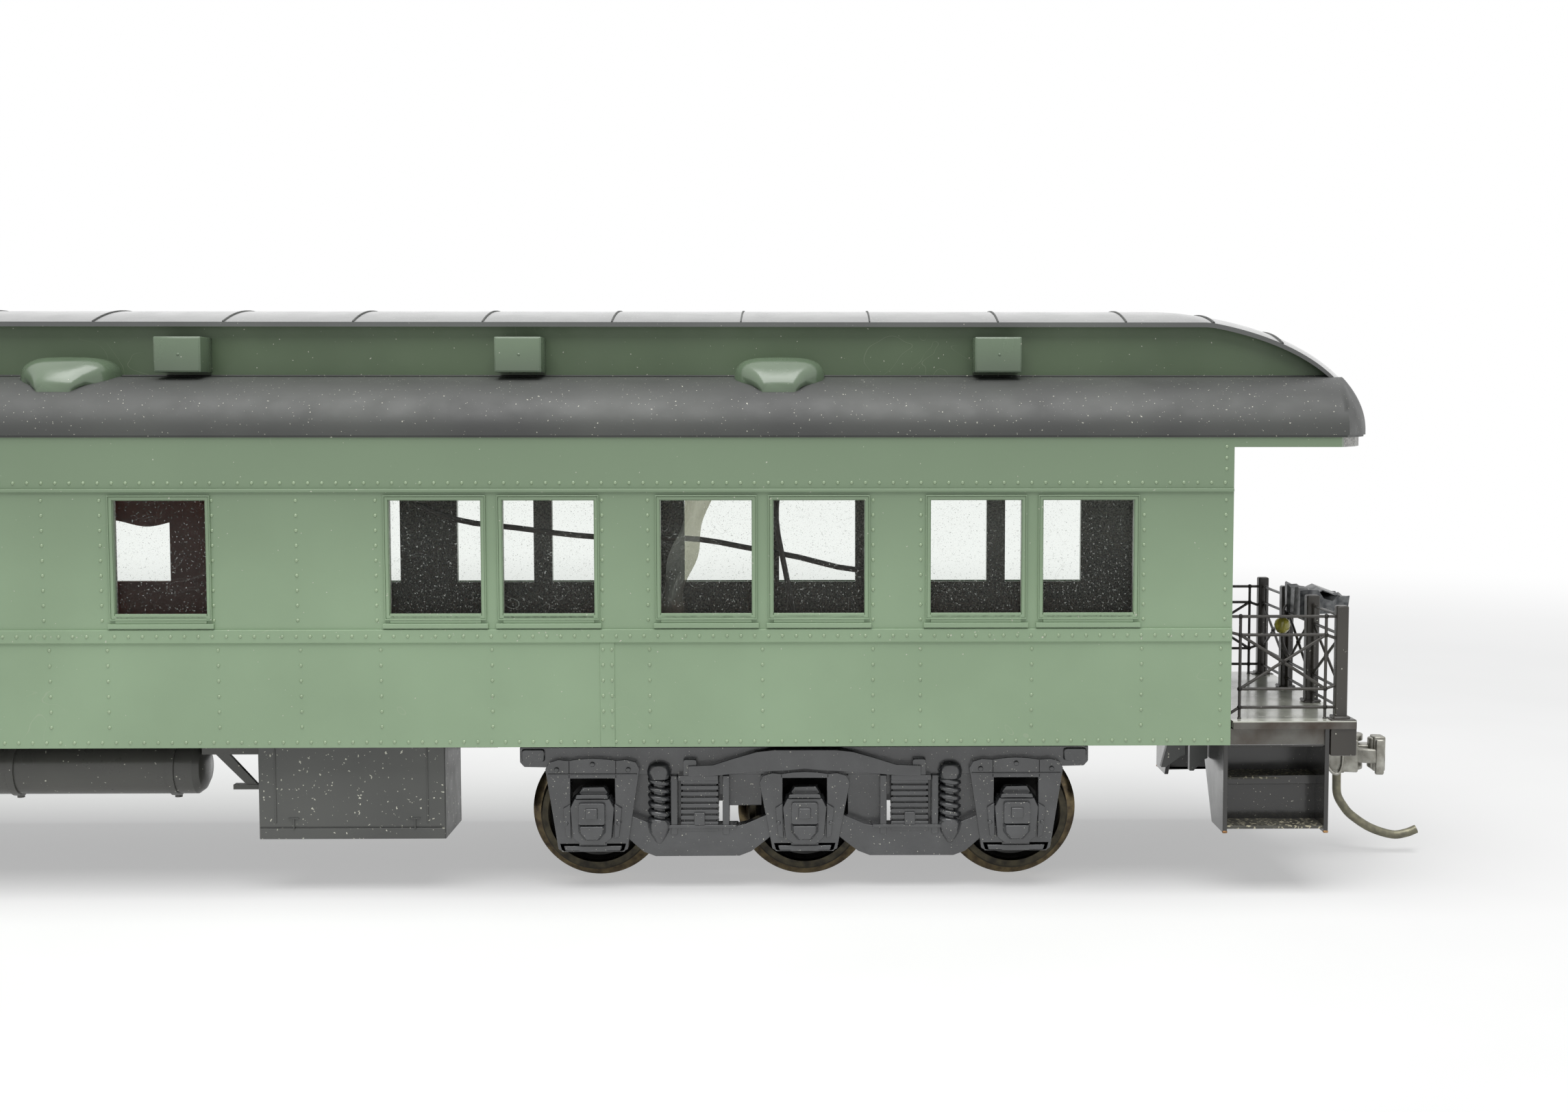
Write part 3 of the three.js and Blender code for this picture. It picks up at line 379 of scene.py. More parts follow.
def piece_from(bm, name, finishes, body, stands_for=(), bevel=0.0, sharp=35):
    bmesh.ops.remove_doubles(bm, verts=bm.verts, dist=1e-4)
    bmesh.ops.recalc_face_normals(bm, faces=bm.faces)
    if not bevel:
        for edge in bm.edges:
            if edge.is_manifold and edge.calc_face_angle(0) > math.radians(sharp):
                edge.smooth = False
    mesh = bpy.data.meshes.new(name)
    bm.to_mesh(mesh)
    bm.free()
    return settle(name, mesh, finishes, body, stands_for, bevel)


print("shaping helpers ready")

# %% [markdown]
# ## Copies by Geometry Nodes
# Rivets, window frames, ventilators and spring coils repeat many times. Each kind has one small
# geometry tree with named inputs. The tree reads the vertices of a mesh that only holds places,
# puts a copy on each, makes the copies real and gives them their material. The result is then
# turned into a plain mesh.

# %% Geometry tree helpers
def geometry_tree(name, **sockets):
    tree = bpy.data.node_groups.new(name, "GeometryNodeTree")
    tree.interface.new_socket("Geometry", in_out="INPUT", socket_type="NodeSocketGeometry")
    for label, kind in sockets.items():
        tree.interface.new_socket(label.replace("_", " "), in_out="INPUT",
                                  socket_type="NodeSocket" + kind)
    tree.interface.new_socket("Geometry", in_out="OUTPUT", socket_type="NodeSocketGeometry")
    return tree, add(tree, "NodeGroupInput").outputs


def end_tree(tree, geometry, material):
    real = add(tree, "GeometryNodeRealizeInstances", Geometry=geometry)
    painted = add(tree, "GeometryNodeSetMaterial", Geometry=real.outputs[0], Material=material)
    add(tree, "NodeGroupOutput", i0=painted.outputs[0])


def grow(name, places, tree, material, edges=(), faces=(), **values):
    """Runs a tree on the places (millimetres) and returns the plain mesh, in the frame."""
    seed = bpy.data.meshes.new(name + "_places")
    seed.from_pydata([Vector(p) * MM + Vector((middle, 0, 0)) for p in places], edges, faces)
    holder = bpy.data.objects.new(name + "_places", seed)
    bpy.context.scene.collection.objects.link(holder)
    nodes = holder.modifiers.new(name, "NODES")
    nodes.node_group = tree
    for item in tree.interface.items_tree:
        key = item.name.replace(" ", "_")
        if item.in_out == "INPUT" and key in values:
            nodes[item.identifier] = values[key]
        elif item.in_out == "INPUT" and item.name == "Finish":
            nodes[item.identifier] = material
    result = holder.evaluated_get(bpy.context.evaluated_depsgraph_get())
    mesh = bpy.data.meshes.new_from_object(result)
    mesh.name = name
    bpy.data.objects.remove(holder)
    return mesh


def copies_tree():
    """A copy of one original on each place, turned about Z where the place is on the far side."""
    tree, given = geometry_tree("copies_on_both_sides", Original="Object", Finish="Material")
    original = add(tree, "GeometryNodeObjectInfo", Object=given["Original"])
    here = add(tree, "ShaderNodeSeparateXYZ", Vector=add(tree, "GeometryNodeInputPosition").outputs[0])
    far_side = add(tree, "ShaderNodeMath", {"operation": "GREATER_THAN"}, i0=here.outputs["Y"])
    half_turn = add(tree, "ShaderNodeMath", {"operation": "MULTIPLY"}, i0=far_side.outputs[0],
                    i1=math.pi)
    turn = add(tree, "ShaderNodeCombineXYZ", Z=half_turn.outputs[0])
    put = add(tree, "GeometryNodeInstanceOnPoints", Points=given["Geometry"],
              Instance=original.outputs["Geometry"], Rotation=turn.outputs[0])
    end_tree(tree, put.outputs[0], given["Finish"])
    return tree


both_sides = copies_tree()


def repeat(name, bm, places, finish, body, bevel=0.0, sharp=35):
    """Copies one small shape, drawn in millimetres about its own zero, onto the places."""
    bmesh.ops.remove_doubles(bm, verts=bm.verts, dist=1e-4)
    bmesh.ops.recalc_face_normals(bm, faces=bm.faces)
    for edge in bm.edges:
        if not bevel and edge.is_manifold and edge.calc_face_angle(0) > math.radians(sharp):
            edge.smooth = False
    shape = bpy.data.meshes.new(name + "_shape")
    bm.to_mesh(shape)
    bm.free()
    shape.transform(Matrix.Scale(MM, 4))
    one = bpy.data.objects.new(name + "_one", shape)
    bpy.context.scene.collection.objects.link(one)
    if bevel:
        rounding = one.modifiers.new("rounded edges", "BEVEL")
        rounding.width, rounding.segments, rounding.limit_method = bevel * MM, 2, "ANGLE"
    mesh = grow(name, places, both_sides, finish, Original=one)
    bpy.data.objects.remove(one)
    piece = settle(name, mesh, [finish], body, in_frame=True)
    print(name, "copies:", len(places), "faces:", len(mesh.polygons))
    return piece


print("geometry trees:", [t.name for t in bpy.data.node_groups])

# %% [markdown]
# ## Roof
# The roof is two curved decks with an upright clerestory between them. Both decks follow a rule:
# a section across the coach and a curve that brings the rear end down to the eave. So each is a
# grid whose height is the lower of the two, which keeps the long reflections clean. A grid of
# stations narrows with the bowed outline at the end, and its underside and edge close it.

# %% Rules of the roof
body_low, body_high = node_box("body_shell")
roof_low, roof_high = node_box("roof")
END_X = node_box("front_door")[0].x * -1 + 0.1       # end wall, from the middle
SIDE_Y, SILL_Z = 17.4, body_low.z
EAVE_Z, CROWN_Z, ROOF_END = roof_low.z, roof_high.z, roof_high.x
ROOF_HALF = roof_high.y
EAVE_EDGE, DECK_TOP, WALL_HALF = 0.53, 47.6, 9.0
UPPER_HALF, UPPER_EDGE_Z, UPPER_THICK = 10.0, 52.67, 0.45
LOWER_PLAN, UPPER_PLAN, END_RUN, FRONT_RUN = 32.55, 24.0, 22.0, 16.0
CURVE_FOOT = EAVE_Z + EAVE_EDGE


def end_height(x, y, plan_radius, drop=0.0):
    """Height of the curve that closes the roof at either end."""
    if x > 0:
        beyond = math.hypot(x - (ROOF_END - plan_radius), y) - plan_radius
        run = END_RUN
        if x < ROOF_END - plan_radius:
            return CROWN_Z + 1
    else:
        beyond, run = roof_low.x - x, FRONT_RUN
    part = min(max((beyond + run) / run, 0.0), 1.0)
    return CURVE_FOOT + (CROWN_Z - CURVE_FOOT) * math.sqrt(1 - part * part) - drop


def lower_deck_height(x, y):
    part = min(max((abs(y) - WALL_HALF) / (ROOF_HALF - WALL_HALF), 0.0), 1.0)
    across = CURVE_FOOT + (DECK_TOP - CURVE_FOOT) * math.sqrt(1 - part * part)
    return min(across, end_height(x, y, LOWER_PLAN))


rise = CROWN_Z - UPPER_EDGE_Z
ARCH = (UPPER_HALF ** 2 + rise ** 2) / (2 * rise)


def upper_deck_height(x, y, drop=0.0):
    across = CROWN_Z - ARCH + math.sqrt(ARCH ** 2 - y * y)
    return min(across, end_height(x, y, UPPER_PLAN)) - drop


def outline_half(x, half, plan_radius):
    """Half width of a deck at a station, which bows in at the rear end."""
    from_centre = x - (ROOF_END - plan_radius)
    if from_centre <= 0:
        return half
    return min(half, math.sqrt(max(plan_radius ** 2 - from_centre ** 2, 0.0)))


def stations(last):
    """Places along the coach: close together where the ends curve."""
    front = [roof_low.x + FRONT_RUN * (1 - math.cos(math.pi / 2 * i / 20)) for i in range(20)]
    straight = [roof_low.x + FRONT_RUN + i * 6.0 for i in range(39)]
    rear_from = straight[-1] + 2
    rear = [rear_from + (last - rear_from) * math.sin(math.pi / 2 * i / 70) for i in range(71)]
    return front + straight + rear


print("roof from", round(roof_low.x, 1), "to", round(ROOF_END, 1), "arch radius", round(ARCH, 1))

# %% Decks and clerestory as grids
def height_grid(bm, xs, shares, half_at, top_at, bottom_at, edge_finish=0):
    rows = []
    for x in xs:
        half = max(half_at(x), 1e-3)
        rows.append([(x, s * half) for s in shares])
    tops = [[bm.verts.new((x, y, top_at(x, y))) for x, y in row] for row in rows]
    feet = [[bm.verts.new((x, y, bottom_at(x, y))) for x, y in row] for row in rows]
    for grid, turned_over in ((tops, False), (feet, True)):
        for a, b in zip(grid, grid[1:]):
            for k in range(len(a) - 1):
                corners = (a[k], b[k], b[k + 1], a[k + 1])
                bm.faces.new(corners[::-1] if turned_over else corners)
    rim_top = tops[0] + [r[-1] for r in tops[1:]] + tops[-1][-2::-1] + [r[0] for r in tops[-2:0:-1]]
    rim_low = feet[0] + [r[-1] for r in feet[1:]] + feet[-1][-2::-1] + [r[0] for r in feet[-2:0:-1]]
    for i in range(len(rim_top)):
        j = (i + 1) % len(rim_top)
        bm.faces.new((rim_top[i], rim_top[j], rim_low[j], rim_low[i])).material_index = edge_finish


section = [math.cos(math.pi / 2 * i / 14) for i in range(15)]
lower_ys = [WALL_HALF + (ROOF_HALF - WALL_HALF) * c for c in section]
lower_shares = sorted({round(s * y / ROOF_HALF, 6) for y in lower_ys + [4.5, 0.0] for s in (-1, 1)})
bm = bmesh.new()
height_grid(bm, stations(ROOF_END), lower_shares, lambda x: outline_half(x, ROOF_HALF, LOWER_PLAN),
            lower_deck_height, lambda x, y: EAVE_Z + 0.18)
lower_deck = piece_from(bm, "roof_lower_deck", [roof_enamel], "coach", ("roof",),
                        sharp=50)

# A thin gutter plate under the deck's edge sits a little further in.
bm = bmesh.new()
height_grid(bm, stations(ROOF_END - 0.15), (-1, 0, 1),
            lambda x: outline_half(x + 0.15, ROOF_HALF, LOWER_PLAN) - 0.12,
            lambda x, y: EAVE_Z + 0.2, lambda x, y: EAVE_Z)
piece_from(bm, "roof_gutter_plate", [roof_enamel], "coach")

upper_shares = [i / 12 for i in range(-12, 13)]
bm = bmesh.new()
height_grid(bm, stations(ROOF_END - 0.4), upper_shares,
            lambda x: outline_half(x + 0.4, UPPER_HALF, UPPER_PLAN),
            lambda x, y: upper_deck_height(x, y) - 0.01,
            lambda x, y: upper_deck_height(x, y, UPPER_THICK))
upper_deck = piece_from(bm, "roof_upper_deck", [deck_top_enamel], "coach", sharp=50)

wall_end = ROOF_END - UPPER_PLAN + math.sqrt((UPPER_PLAN - 2.2) ** 2 - WALL_HALF ** 2)
# The clerestory walls wear the darkened green, painted shade.
bm = bmesh.new()
height_grid(bm, stations(wall_end + 0.3), (-1, -0.5, 0, 0.5, 1), lambda x: WALL_HALF,
            lambda x, y: max(min(UPPER_EDGE_Z - 0.2, upper_deck_height(x, y, UPPER_THICK) + 0.1),
                             DECK_TOP - 0.25),
            lambda x, y: DECK_TOP - 0.4)
piece_from(bm, "clerestory_walls", [clerestory_shaded_enamel], "coach")
print("decks:", len(lower_deck.data.polygons), "and", len(upper_deck.data.polygons), "faces")

# %% [markdown]
# The upper deck is laid from sheets with standing seams between them. A seam follows the arch of
# the deck, so it is one arc, swept by a small square and repeated by a tree. A bead runs along
# the foot of the clerestory, where the two decks are soldered.

# %% Standing seams and foot bead
def seam_tree():
    tree, given = geometry_tree("standing_seams", Arch_radius="Float", Half_angle="Float",
                                Seam_size="Float", Finish="Material")
    arc = add(tree, "GeometryNodeCurveArc", {"mode": "RADIUS"}, Resolution=17,
              Radius=given["Arch radius"], Start_Angle=math.pi / 2,
              Sweep_Angle=given["Half angle"])
    square = add(tree, "GeometryNodeCurvePrimitiveQuadrilateral", Width=given["Seam size"],
                 Height=given["Seam size"])
    centred = add(tree, "GeometryNodeCurveToMesh", Curve=arc.outputs[0],
                  Profile_Curve=square.outputs[0])
    centred.inputs["Fill Caps"].default_value = True
    back = add(tree, "ShaderNodeMath", {"operation": "MULTIPLY"}, i0=given["Half angle"], i1=-0.5)
    tilt = add(tree, "ShaderNodeCombineXYZ", Z=back.outputs[0])
    level = add(tree, "GeometryNodeTransform", Geometry=centred.outputs[0], Rotation=tilt.outputs[0])
    upright = add(tree, "GeometryNodeTransform", Geometry=level.outputs[0],
                  Rotation=(math.pi / 2, 0, math.pi / 2))
    put = add(tree, "GeometryNodeInstanceOnPoints", Points=given["Geometry"],
              Instance=upright.outputs[0])
    end_tree(tree, put.outputs[0], given["Finish"])
    return tree


SEAM_PITCH = 12.0
seam_xs = [123.3 - SEAM_PITCH * i for i in range(20)]
half_angle = math.asin(UPPER_HALF / ARCH)
seams = grow("roof_seams", [(x, 0, CROWN_Z - ARCH) for x in seam_xs], seam_tree(), roof_enamel,
             Arch_radius=(ARCH + 0.02) * MM, Half_angle=2 * half_angle, Seam_size=0.13 * MM)
settle("roof_seams", seams, [roof_enamel], "coach", in_frame=True)

bm = bmesh.new()
for x in (131.5, 138.0):
    arc_ys = [i / 10 * outline_half(x, UPPER_HALF, UPPER_PLAN) for i in range(-10, 11)]
    wire(bm, [(x, y, upper_deck_height(x, y) + 0.02) for y in arc_ys], 0.12, 6)
for side in (-1, 1):
    xs = [roof_low.x + 1.5, 0, 60, 120, wall_end - 3, wall_end - 0.6]
    wire(bm, [(x, side * (WALL_HALF + 0.06), min(DECK_TOP + 0.04, lower_deck_height(x, 9) + 0.05))
              for x in xs], 0.13, 6)
piece_from(bm, "roof_foot_bead", [roof_enamel], "coach")
print("seams:", len(seam_xs), "at", SEAM_PITCH, "mm")

# %% [markdown]
# ## Ventilators
# Two kinds stand on the clerestory. The box ones are folded boxes with a flat face. The bow ones
# are castings: a rounded pillow on top, whose flanks sweep in with a hollow curve to a narrow
# nose. Each is drawn once and copied to both sides by the tree.

# %% Box and bow ventilators
BOX_XS = [111.1, 66.9, 35.8, 1.4, -30.0, -64.2, -95.3]
BOW_XS = [90.9 - 65.5 * i for i in range(4)]
BOX_WIDE, BOX_OUT, BOX_LOW, BOX_TALL = 4.3, 3.5, 47.94, 3.26


def on_both_sides(xs, z=0.0, y=WALL_HALF):
    return [(x, side * y, z) for x in xs for side in (-1, 1)]


bm = bmesh.new()
block(bm, (-BOX_WIDE / 2, -BOX_OUT, 0), (BOX_WIDE / 2, 0.2, BOX_TALL))
repeat("box_vents", bm, on_both_sides(BOX_XS, BOX_LOW), vent_enamel, "coach",
       bevel=0.09)
bm = bmesh.new()
block(bm, (-BOX_WIDE / 2 + 0.12, -BOX_OUT - 0.06, 0.12),
      (BOX_WIDE / 2 - 0.12, -BOX_OUT + 0.1, BOX_TALL - 0.12))
turned(bm, [(0, 0), (0.16, 0), (0.13, 0.1), (0, 0.14)], (0, -1, 0),
       (0.1, -BOX_OUT, BOX_TALL / 2), 10)
repeat("box_vent_faces", bm, on_both_sides(BOX_XS, BOX_LOW), vent_enamel, "coach",
       bevel=0.05)


def bow_section(bm, outward, wide, nose, top, shoulder, foot=-1.65):
    """One loop of the casting: a rounded pillow above, and hollow flanks down to the nose."""
    ring = []
    for i in range(15):
        a = math.pi * i / 14
        ring.append((wide * math.copysign(abs(math.cos(a)) ** 0.55, math.cos(a)),
                     shoulder + (top - shoulder) * math.sin(a) ** 0.7))
    flank = [(nose + (wide - nose) * (1 - i / 6) ** 2.4, shoulder + (foot - shoulder) * i / 6)
             for i in range(1, 7)]
    ring += [(-x, z) for x, z in flank] + flank[::-1]
    return [bm.verts.new((x, -outward, z)) for x, z in ring]


bm = bmesh.new()
rings = [bow_section(bm, *r) for r in (
    (-0.2, 4.2, 1.9, 1.75, -0.4), (2.3, 4.2, 1.9, 1.75, -0.4), (3.3, 4.0, 1.9, 1.55, -0.5),
    (4.1, 3.4, 1.88, 1.15, -0.65), (4.9, 2.5, 1.85, 0.55, -0.85), (5.7, 1.95, 1.8, -0.1, -1.05),
    (6.15, 1.5, 1.45, -0.6, -1.2))]
for a, b in zip(rings, rings[1:]):
    for i in range(len(a)):
        j = (i + 1) % len(a)
        bm.faces.new((a[i], a[j], b[j], b[i]))
bm.faces.new(rings[0][::-1])
bm.faces.new(rings[-1])
repeat("bow_vents", bm, on_both_sides(BOW_XS, 47.6), vent_enamel, "coach", sharp=70)

# %% [markdown]
# ## Body sides
# The frame's body shell keeps its shape: sheets with the window openings cut through. What makes
# it look like the real side is thin relief on top, so each line is its own geometry: a belt rail
# under the windows, a moulding over them, a splice strip and a raised frame round every window.

# %% Relief strips along the sides
WINDOW_WIDE, WINDOW_HIGH, WINDOW_SILL = 8.2, 10.3, 26.08
PAIR_HALF = 5.085
pair_xs = [113.8, 89.44, 65.08, -99.0, -74.64, -50.28, -25.92, -1.56]
paired = [x + s * PAIR_HALF for x in pair_xs for s in (-1, 1)]
# One side has a single window between the pairs, the other has two.
window_spots = [(x, -1) for x in paired + [35.4]] + [(x, 1) for x in paired + [45.7, 21.5]]
BELT = (23.54, 24.75)
MOULDING_Z, SPLICE = 37.12, (74.71, 76.05)
green_finishes = [green_enamel]
bm = bmesh.new()
for side in (-1, 1):
    near, far = side * (SIDE_Y - 0.1), side * (SIDE_Y + 0.2)
    block(bm, (-END_X, min(near, far), BELT[0]), (END_X, max(near, far), BELT[1]))
    block(bm, (-END_X, min(near, far), MOULDING_Z), (END_X, max(near, far), MOULDING_Z + 0.32))
    far = side * (SIDE_Y + 0.09)
    block(bm, (SPLICE[0], min(near, far), SILL_Z + 0.02), (SPLICE[1], max(near, far), BELT[0] + 0.1))
piece_from(bm, "side_relief", green_finishes, "coach", bevel=0.07)


def frame_tree():
    """A flat frame round an opening, with a raised bead along its outer edge."""
    tree, given = geometry_tree("window_frames", Width="Float", Height="Float", Lap="Float",
                                Bead="Float", Finish="Material")
    wide = add(tree, "ShaderNodeMath", {"operation": "ADD"}, i0=given["Width"], i1=given["Lap"])
    tall = add(tree, "ShaderNodeMath", {"operation": "ADD"}, i0=given["Height"], i1=given["Lap"])
    rings = []
    for width, height, thick, deep in ((wide, tall, given["Lap"], 0.00016),
                                       (wide, tall, given["Bead"], 0.0003)):
        loop = add(tree, "GeometryNodeCurvePrimitiveQuadrilateral", Width=width.outputs[0],
                   Height=height.outputs[0])
        if thick == given["Bead"]:
            grow_out = add(tree, "ShaderNodeMath", {"operation": "ADD"}, i0=wide.outputs[0],
                           i1=given["Lap"])
            tall_out = add(tree, "ShaderNodeMath", {"operation": "ADD"}, i0=tall.outputs[0],
                           i1=given["Lap"])
            tree.links.new(grow_out.outputs[0], loop.inputs["Width"])
            tree.links.new(tall_out.outputs[0], loop.inputs["Height"])
        section = add(tree, "GeometryNodeCurvePrimitiveQuadrilateral", Width=thick, Height=deep)
        rings.append(add(tree, "GeometryNodeCurveToMesh", Curve=loop.outputs[0],
                         Profile_Curve=section.outputs[0]))
    both = add(tree, "GeometryNodeJoinGeometry")
    for ring in rings:
        tree.links.new(ring.outputs[0], both.inputs[0])
    upright = add(tree, "GeometryNodeTransform", Geometry=both.outputs[0],
                  Rotation=(math.pi / 2, 0, 0))
    put = add(tree, "GeometryNodeInstanceOnPoints", Points=given["Geometry"],
              Instance=upright.outputs[0])
    end_tree(tree, put.outputs[0], given["Finish"])
    return tree


frames = grow("window_frames", [(x, s * (SIDE_Y + 0.06), WINDOW_SILL + WINDOW_HIGH / 2)
                                for x, s in window_spots], frame_tree(), green_enamel,
              Width=WINDOW_WIDE * MM, Height=WINDOW_HIGH * MM, Lap=0.42 * MM, Bead=0.16 * MM)
settle("window_frames", frames, green_finishes, "coach", bevel=0.05, in_frame=True)

bm = bmesh.new()
for x, side in window_spots:
    for half, (low, high), out in ((4.75, (24.86, 25.3), 0.3), (4.1, (25.3, 26.2), 0.14)):
        near, far = side * (SIDE_Y - 0.05), side * (SIDE_Y + out)
        block(bm, (x - half, min(near, far), low), (x + half, max(near, far), high))
piece_from(bm, "window_sills", green_finishes, "coach", bevel=0.06)
print("windows on both sides:", len(window_spots))

# %% [markdown]
# Rivets hold the side sheets. They stand in long rows along the moulding, the belt rail and the
# sill, and in columns where sheets meet posts. A rivet is a dome of a few faces, copied by a tree
# onto the places that two plain loops work out.

# %% Rivets
def rivet_tree():
    tree, given = geometry_tree("rivet_heads", Radius="Float", Finish="Material")
    ball = add(tree, "GeometryNodeMeshUVSphere", Segments=7, Rings=4, Radius=given["Radius"])
    dome = add(tree, "GeometryNodeTransform", Geometry=ball.outputs[0], Scale=(1, 0.62, 1))
    soft = add(tree, "GeometryNodeSetShadeSmooth", Geometry=dome.outputs[0])
    put = add(tree, "GeometryNodeInstanceOnPoints", Points=given["Geometry"],
              Instance=soft.outputs[0])
    end_tree(tree, put.outputs[0], given["Finish"])
    return tree


ROW_PITCH, COLUMN_PITCH, LOW_PITCH = 1.25, 1.3, 1.37
rear_columns = [54.7, 75.0, 79.1, 99.4, 103.7, 123.9, 131.3]
columns_beside = {-1: [24.9, 30.1, 40.1, 47.6], 1: [16.6, 26.4, 40.8, 50.6]}
front_columns = [x + s * 10.3 for x in pair_xs[3:] for s in (-1, 1)] + [-117.5, -121.8]
rear_low = [25.3, 30.5, 40.4, 47.8, 55.0, 65.0, 75.0, 75.8, 79.2, 89.4, 99.4, 103.7, 113.8, 123.8,
            131.0]
front_low = [x + s * 5.2 for x in pair_xs[3:] for s in (-1, 1)] + [-111.0, -121.8]
places = []


def spaced(start, stop, pitch):
    count = round((stop - start) / pitch)
    return [start + i * (stop - start) / count for i in range(count + 1)]


for z, out, start in ((37.96, 0, -131.2), (24.15, 0.2, -131.2), (14.5, 0, -121.6)):
    places += [(x, SIDE_Y + out, z) for x in spaced(start, 131.2, ROW_PITCH)]
for x in rear_columns + front_columns:
    places += [(x, SIDE_Y, z) for z in spaced(25.6, 36.4, COLUMN_PITCH)]
for x in rear_low + front_low:
    lift = 0.09 if SPLICE[0] < x < SPLICE[1] else 0
    places += [(x, SIDE_Y + lift, z) for z in spaced(15.9, 22.9, LOW_PITCH)]
places += [(131.3, SIDE_Y, z) for z in spaced(39.2, 41.2, COLUMN_PITCH)]
places += [(x, -y, z) for x, y, z in places]
for side, columns in columns_beside.items():
    places += [(x, side * SIDE_Y, z) for x in columns for z in spaced(25.6, 36.4, COLUMN_PITCH)]
rivets = grow("side_rivets", places, rivet_tree(), rivet_enamel, Radius=0.17 * MM)
settle("side_rivets", rivets, [rivet_enamel], "coach", in_frame=True)
print("rivets:", len(places))

# %% [markdown]
# ## Frame nodes that keep their shape
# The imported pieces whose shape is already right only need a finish. The glazing is one thin clear
# sheet behind each side.

# %% Finishes on the frame's own nodes
def finish_node(name, finish):
    materials = frame["nodes"][name].data.materials
    materials.clear()
    materials.append(finish)


for name in frame["nodes"]:
    if name in ("body_shell", "rear_door", "front_door"):
        finish_node(name, green_enamel)
    elif name.startswith("glazing"):
        finish_node(name, glazing_sheet)
    elif "interior" in name:
        finish_node(name, brown_liner)
    elif name == "lighting_lead":
        finish_node(name, grey_lead)
    elif "kingpin" in name or "centring" in name:
        finish_node(name, brass_sheet)
    elif name == "platform_deck":
        finish_node(name, deck_enamel)
    elif "truck_frame" in name or "side_frame" in name:
        finish_node(name, truck_enamel)
    elif "axle" in name:
        finish_node(name, blackened_steel)
    elif "coupler_head" in name or "knuckle" in name:
        finish_node(name, zinc_casting)
    elif "trip_pin" in name:
        finish_node(name, pin_steel)
    elif "railing" in name:
        finish_node(name, rail_enamel)
    elif "wheel" in name:
        finish_node(name, blackened_steel)
    else:
        finish_node(name, under_enamel)
print("finished nodes:", len(frame["nodes"]))

# %% [markdown]
# ## Truck side frames
# Each truck's side frame is one thick casting: a top bar, a pedestal plate over each axle box, a
# curved truss bar that rises over the middle one, two boat-shaped equalizers that hang between
# the wheels, and coil and leaf springs on them. The casting is drawn as plates cut to an outline,
# one in front of the other, with soft edges as a thick coat of paint leaves them.

# %% Outlines of the side frame
FRAME_IN, FRAME_OUT = 12.2, 14.3
rear_truck_x = (node_box("rear_side_frame_right")[0].x + node_box("rear_side_frame_right")[1].x) / 2
AXLE_STEP, AXLE_Z = 19.6, 6.4
PEDESTAL_SLOT = (2.05, 8.84, 10.5)      # half width, bottom and top of the opening


def arched(x0, z0, x1, z1, lift, steps=8):
    """Points from one end to the other that rise by lift in between."""
    return [(x0 + (x1 - x0) * i / steps,
             z0 + (z1 - z0) * i / steps + lift * math.sin(math.pi * i / steps))
            for i in range(steps + 1)]


def rounded(outline, radius, steps=4):
    """Cuts each corner of an outline back and rounds it."""
    out = []
    for i, point in enumerate(outline):
        here, before = Vector(point), Vector(outline[i - 1])
        after = Vector(outline[(i + 1) % len(outline)])
        a = here + (before - here).normalized() * min(radius, (before - here).length * 0.45)
        b = here + (after - here).normalized() * min(radius, (after - here).length * 0.45)
        for s in range(steps + 1):
            t = s / steps
            out.append(tuple(a * (1 - t) ** 2 + here * 2 * t * (1 - t) + b * t * t))
    return out


def shifted(outline, x):
    return [(px + x, pz) for px, pz in outline]


def side_plate(bm, outline, inner, outer, side, inset=0.0):
    """Plate between two distances from the middle line, on one side of the coach."""
    plate(bm, outline, side * inner, side * outer, inset=inset)


print("rear truck at", round(rear_truck_x, 2), "mm from the middle of the body")

# %% Axle boxes and plates
def axle_box(bm, x, side, wide=1.0):
    """Journal box under the pedestal opening: flanges, a domed lid and a keel."""
    body = [(-1.75, 8.9), (-2.2, 8.0), (-1.95, 4.9), (-1.1, 4.25), (1.1, 4.25), (1.95, 4.9),
            (2.2, 8.0), (1.75, 8.9)]
    side_plate(bm, shifted([(px * wide, pz) for px, pz in body], x), 13.4, 14.95, side, 0.25)
    keel = [(-1.45, 6.5), (-1.45, 5.6), (-0.75, 4.7), (0.75, 4.7), (1.45, 5.6), (1.45, 6.5)]
    side_plate(bm, shifted(keel, x), 14.6, 15.5, side, 0.5)
    lid = [(-1.3, 8.5), (-1.3, 6.3), (1.3, 6.3), (1.3, 8.5)]
    side_plate(bm, shifted(rounded(lid, 0.25, 2), x), 14.6, 15.45, side, 0.12)
    badge = [(-0.62, 8.0), (-0.62, 6.9), (0.62, 6.9), (0.62, 8.0)]
    side_plate(bm, shifted(badge, x), 15.3, 15.7, side, 0.12)
    for ear in (-1, 1):
        flange = [(ear * 2.0, 8.3), (ear * 2.75, 7.9), (ear * 2.45, 5.0), (ear * 1.95, 4.8)]
        side_plate(bm, shifted(flange, x), 13.6, 14.65, side, 0.12)
        bolt = (x + ear * 2.42, side * 14.6, 6.4)
        turned(bm, [(0, 0), (0.24, 0), (0.2, 0.14), (0, 0.18)], (0, side, 0), bolt, 8)
    hinge = [(-1.5, 9.15), (-1.6, 8.75), (1.6, 8.75), (1.5, 9.15)]
    side_plate(bm, shifted(hinge, x), 14.0, 15.1, side, 0.1)
    # The box's saddle shows dimly through the opening above the lid.
    saddle = [(-1.5, 9.0), (-1.1, 9.7), (1.2, 9.75), (1.6, 9.0)]
    side_plate(bm, shifted(saddle, x), 13.2, 14.1, side, 0.2)


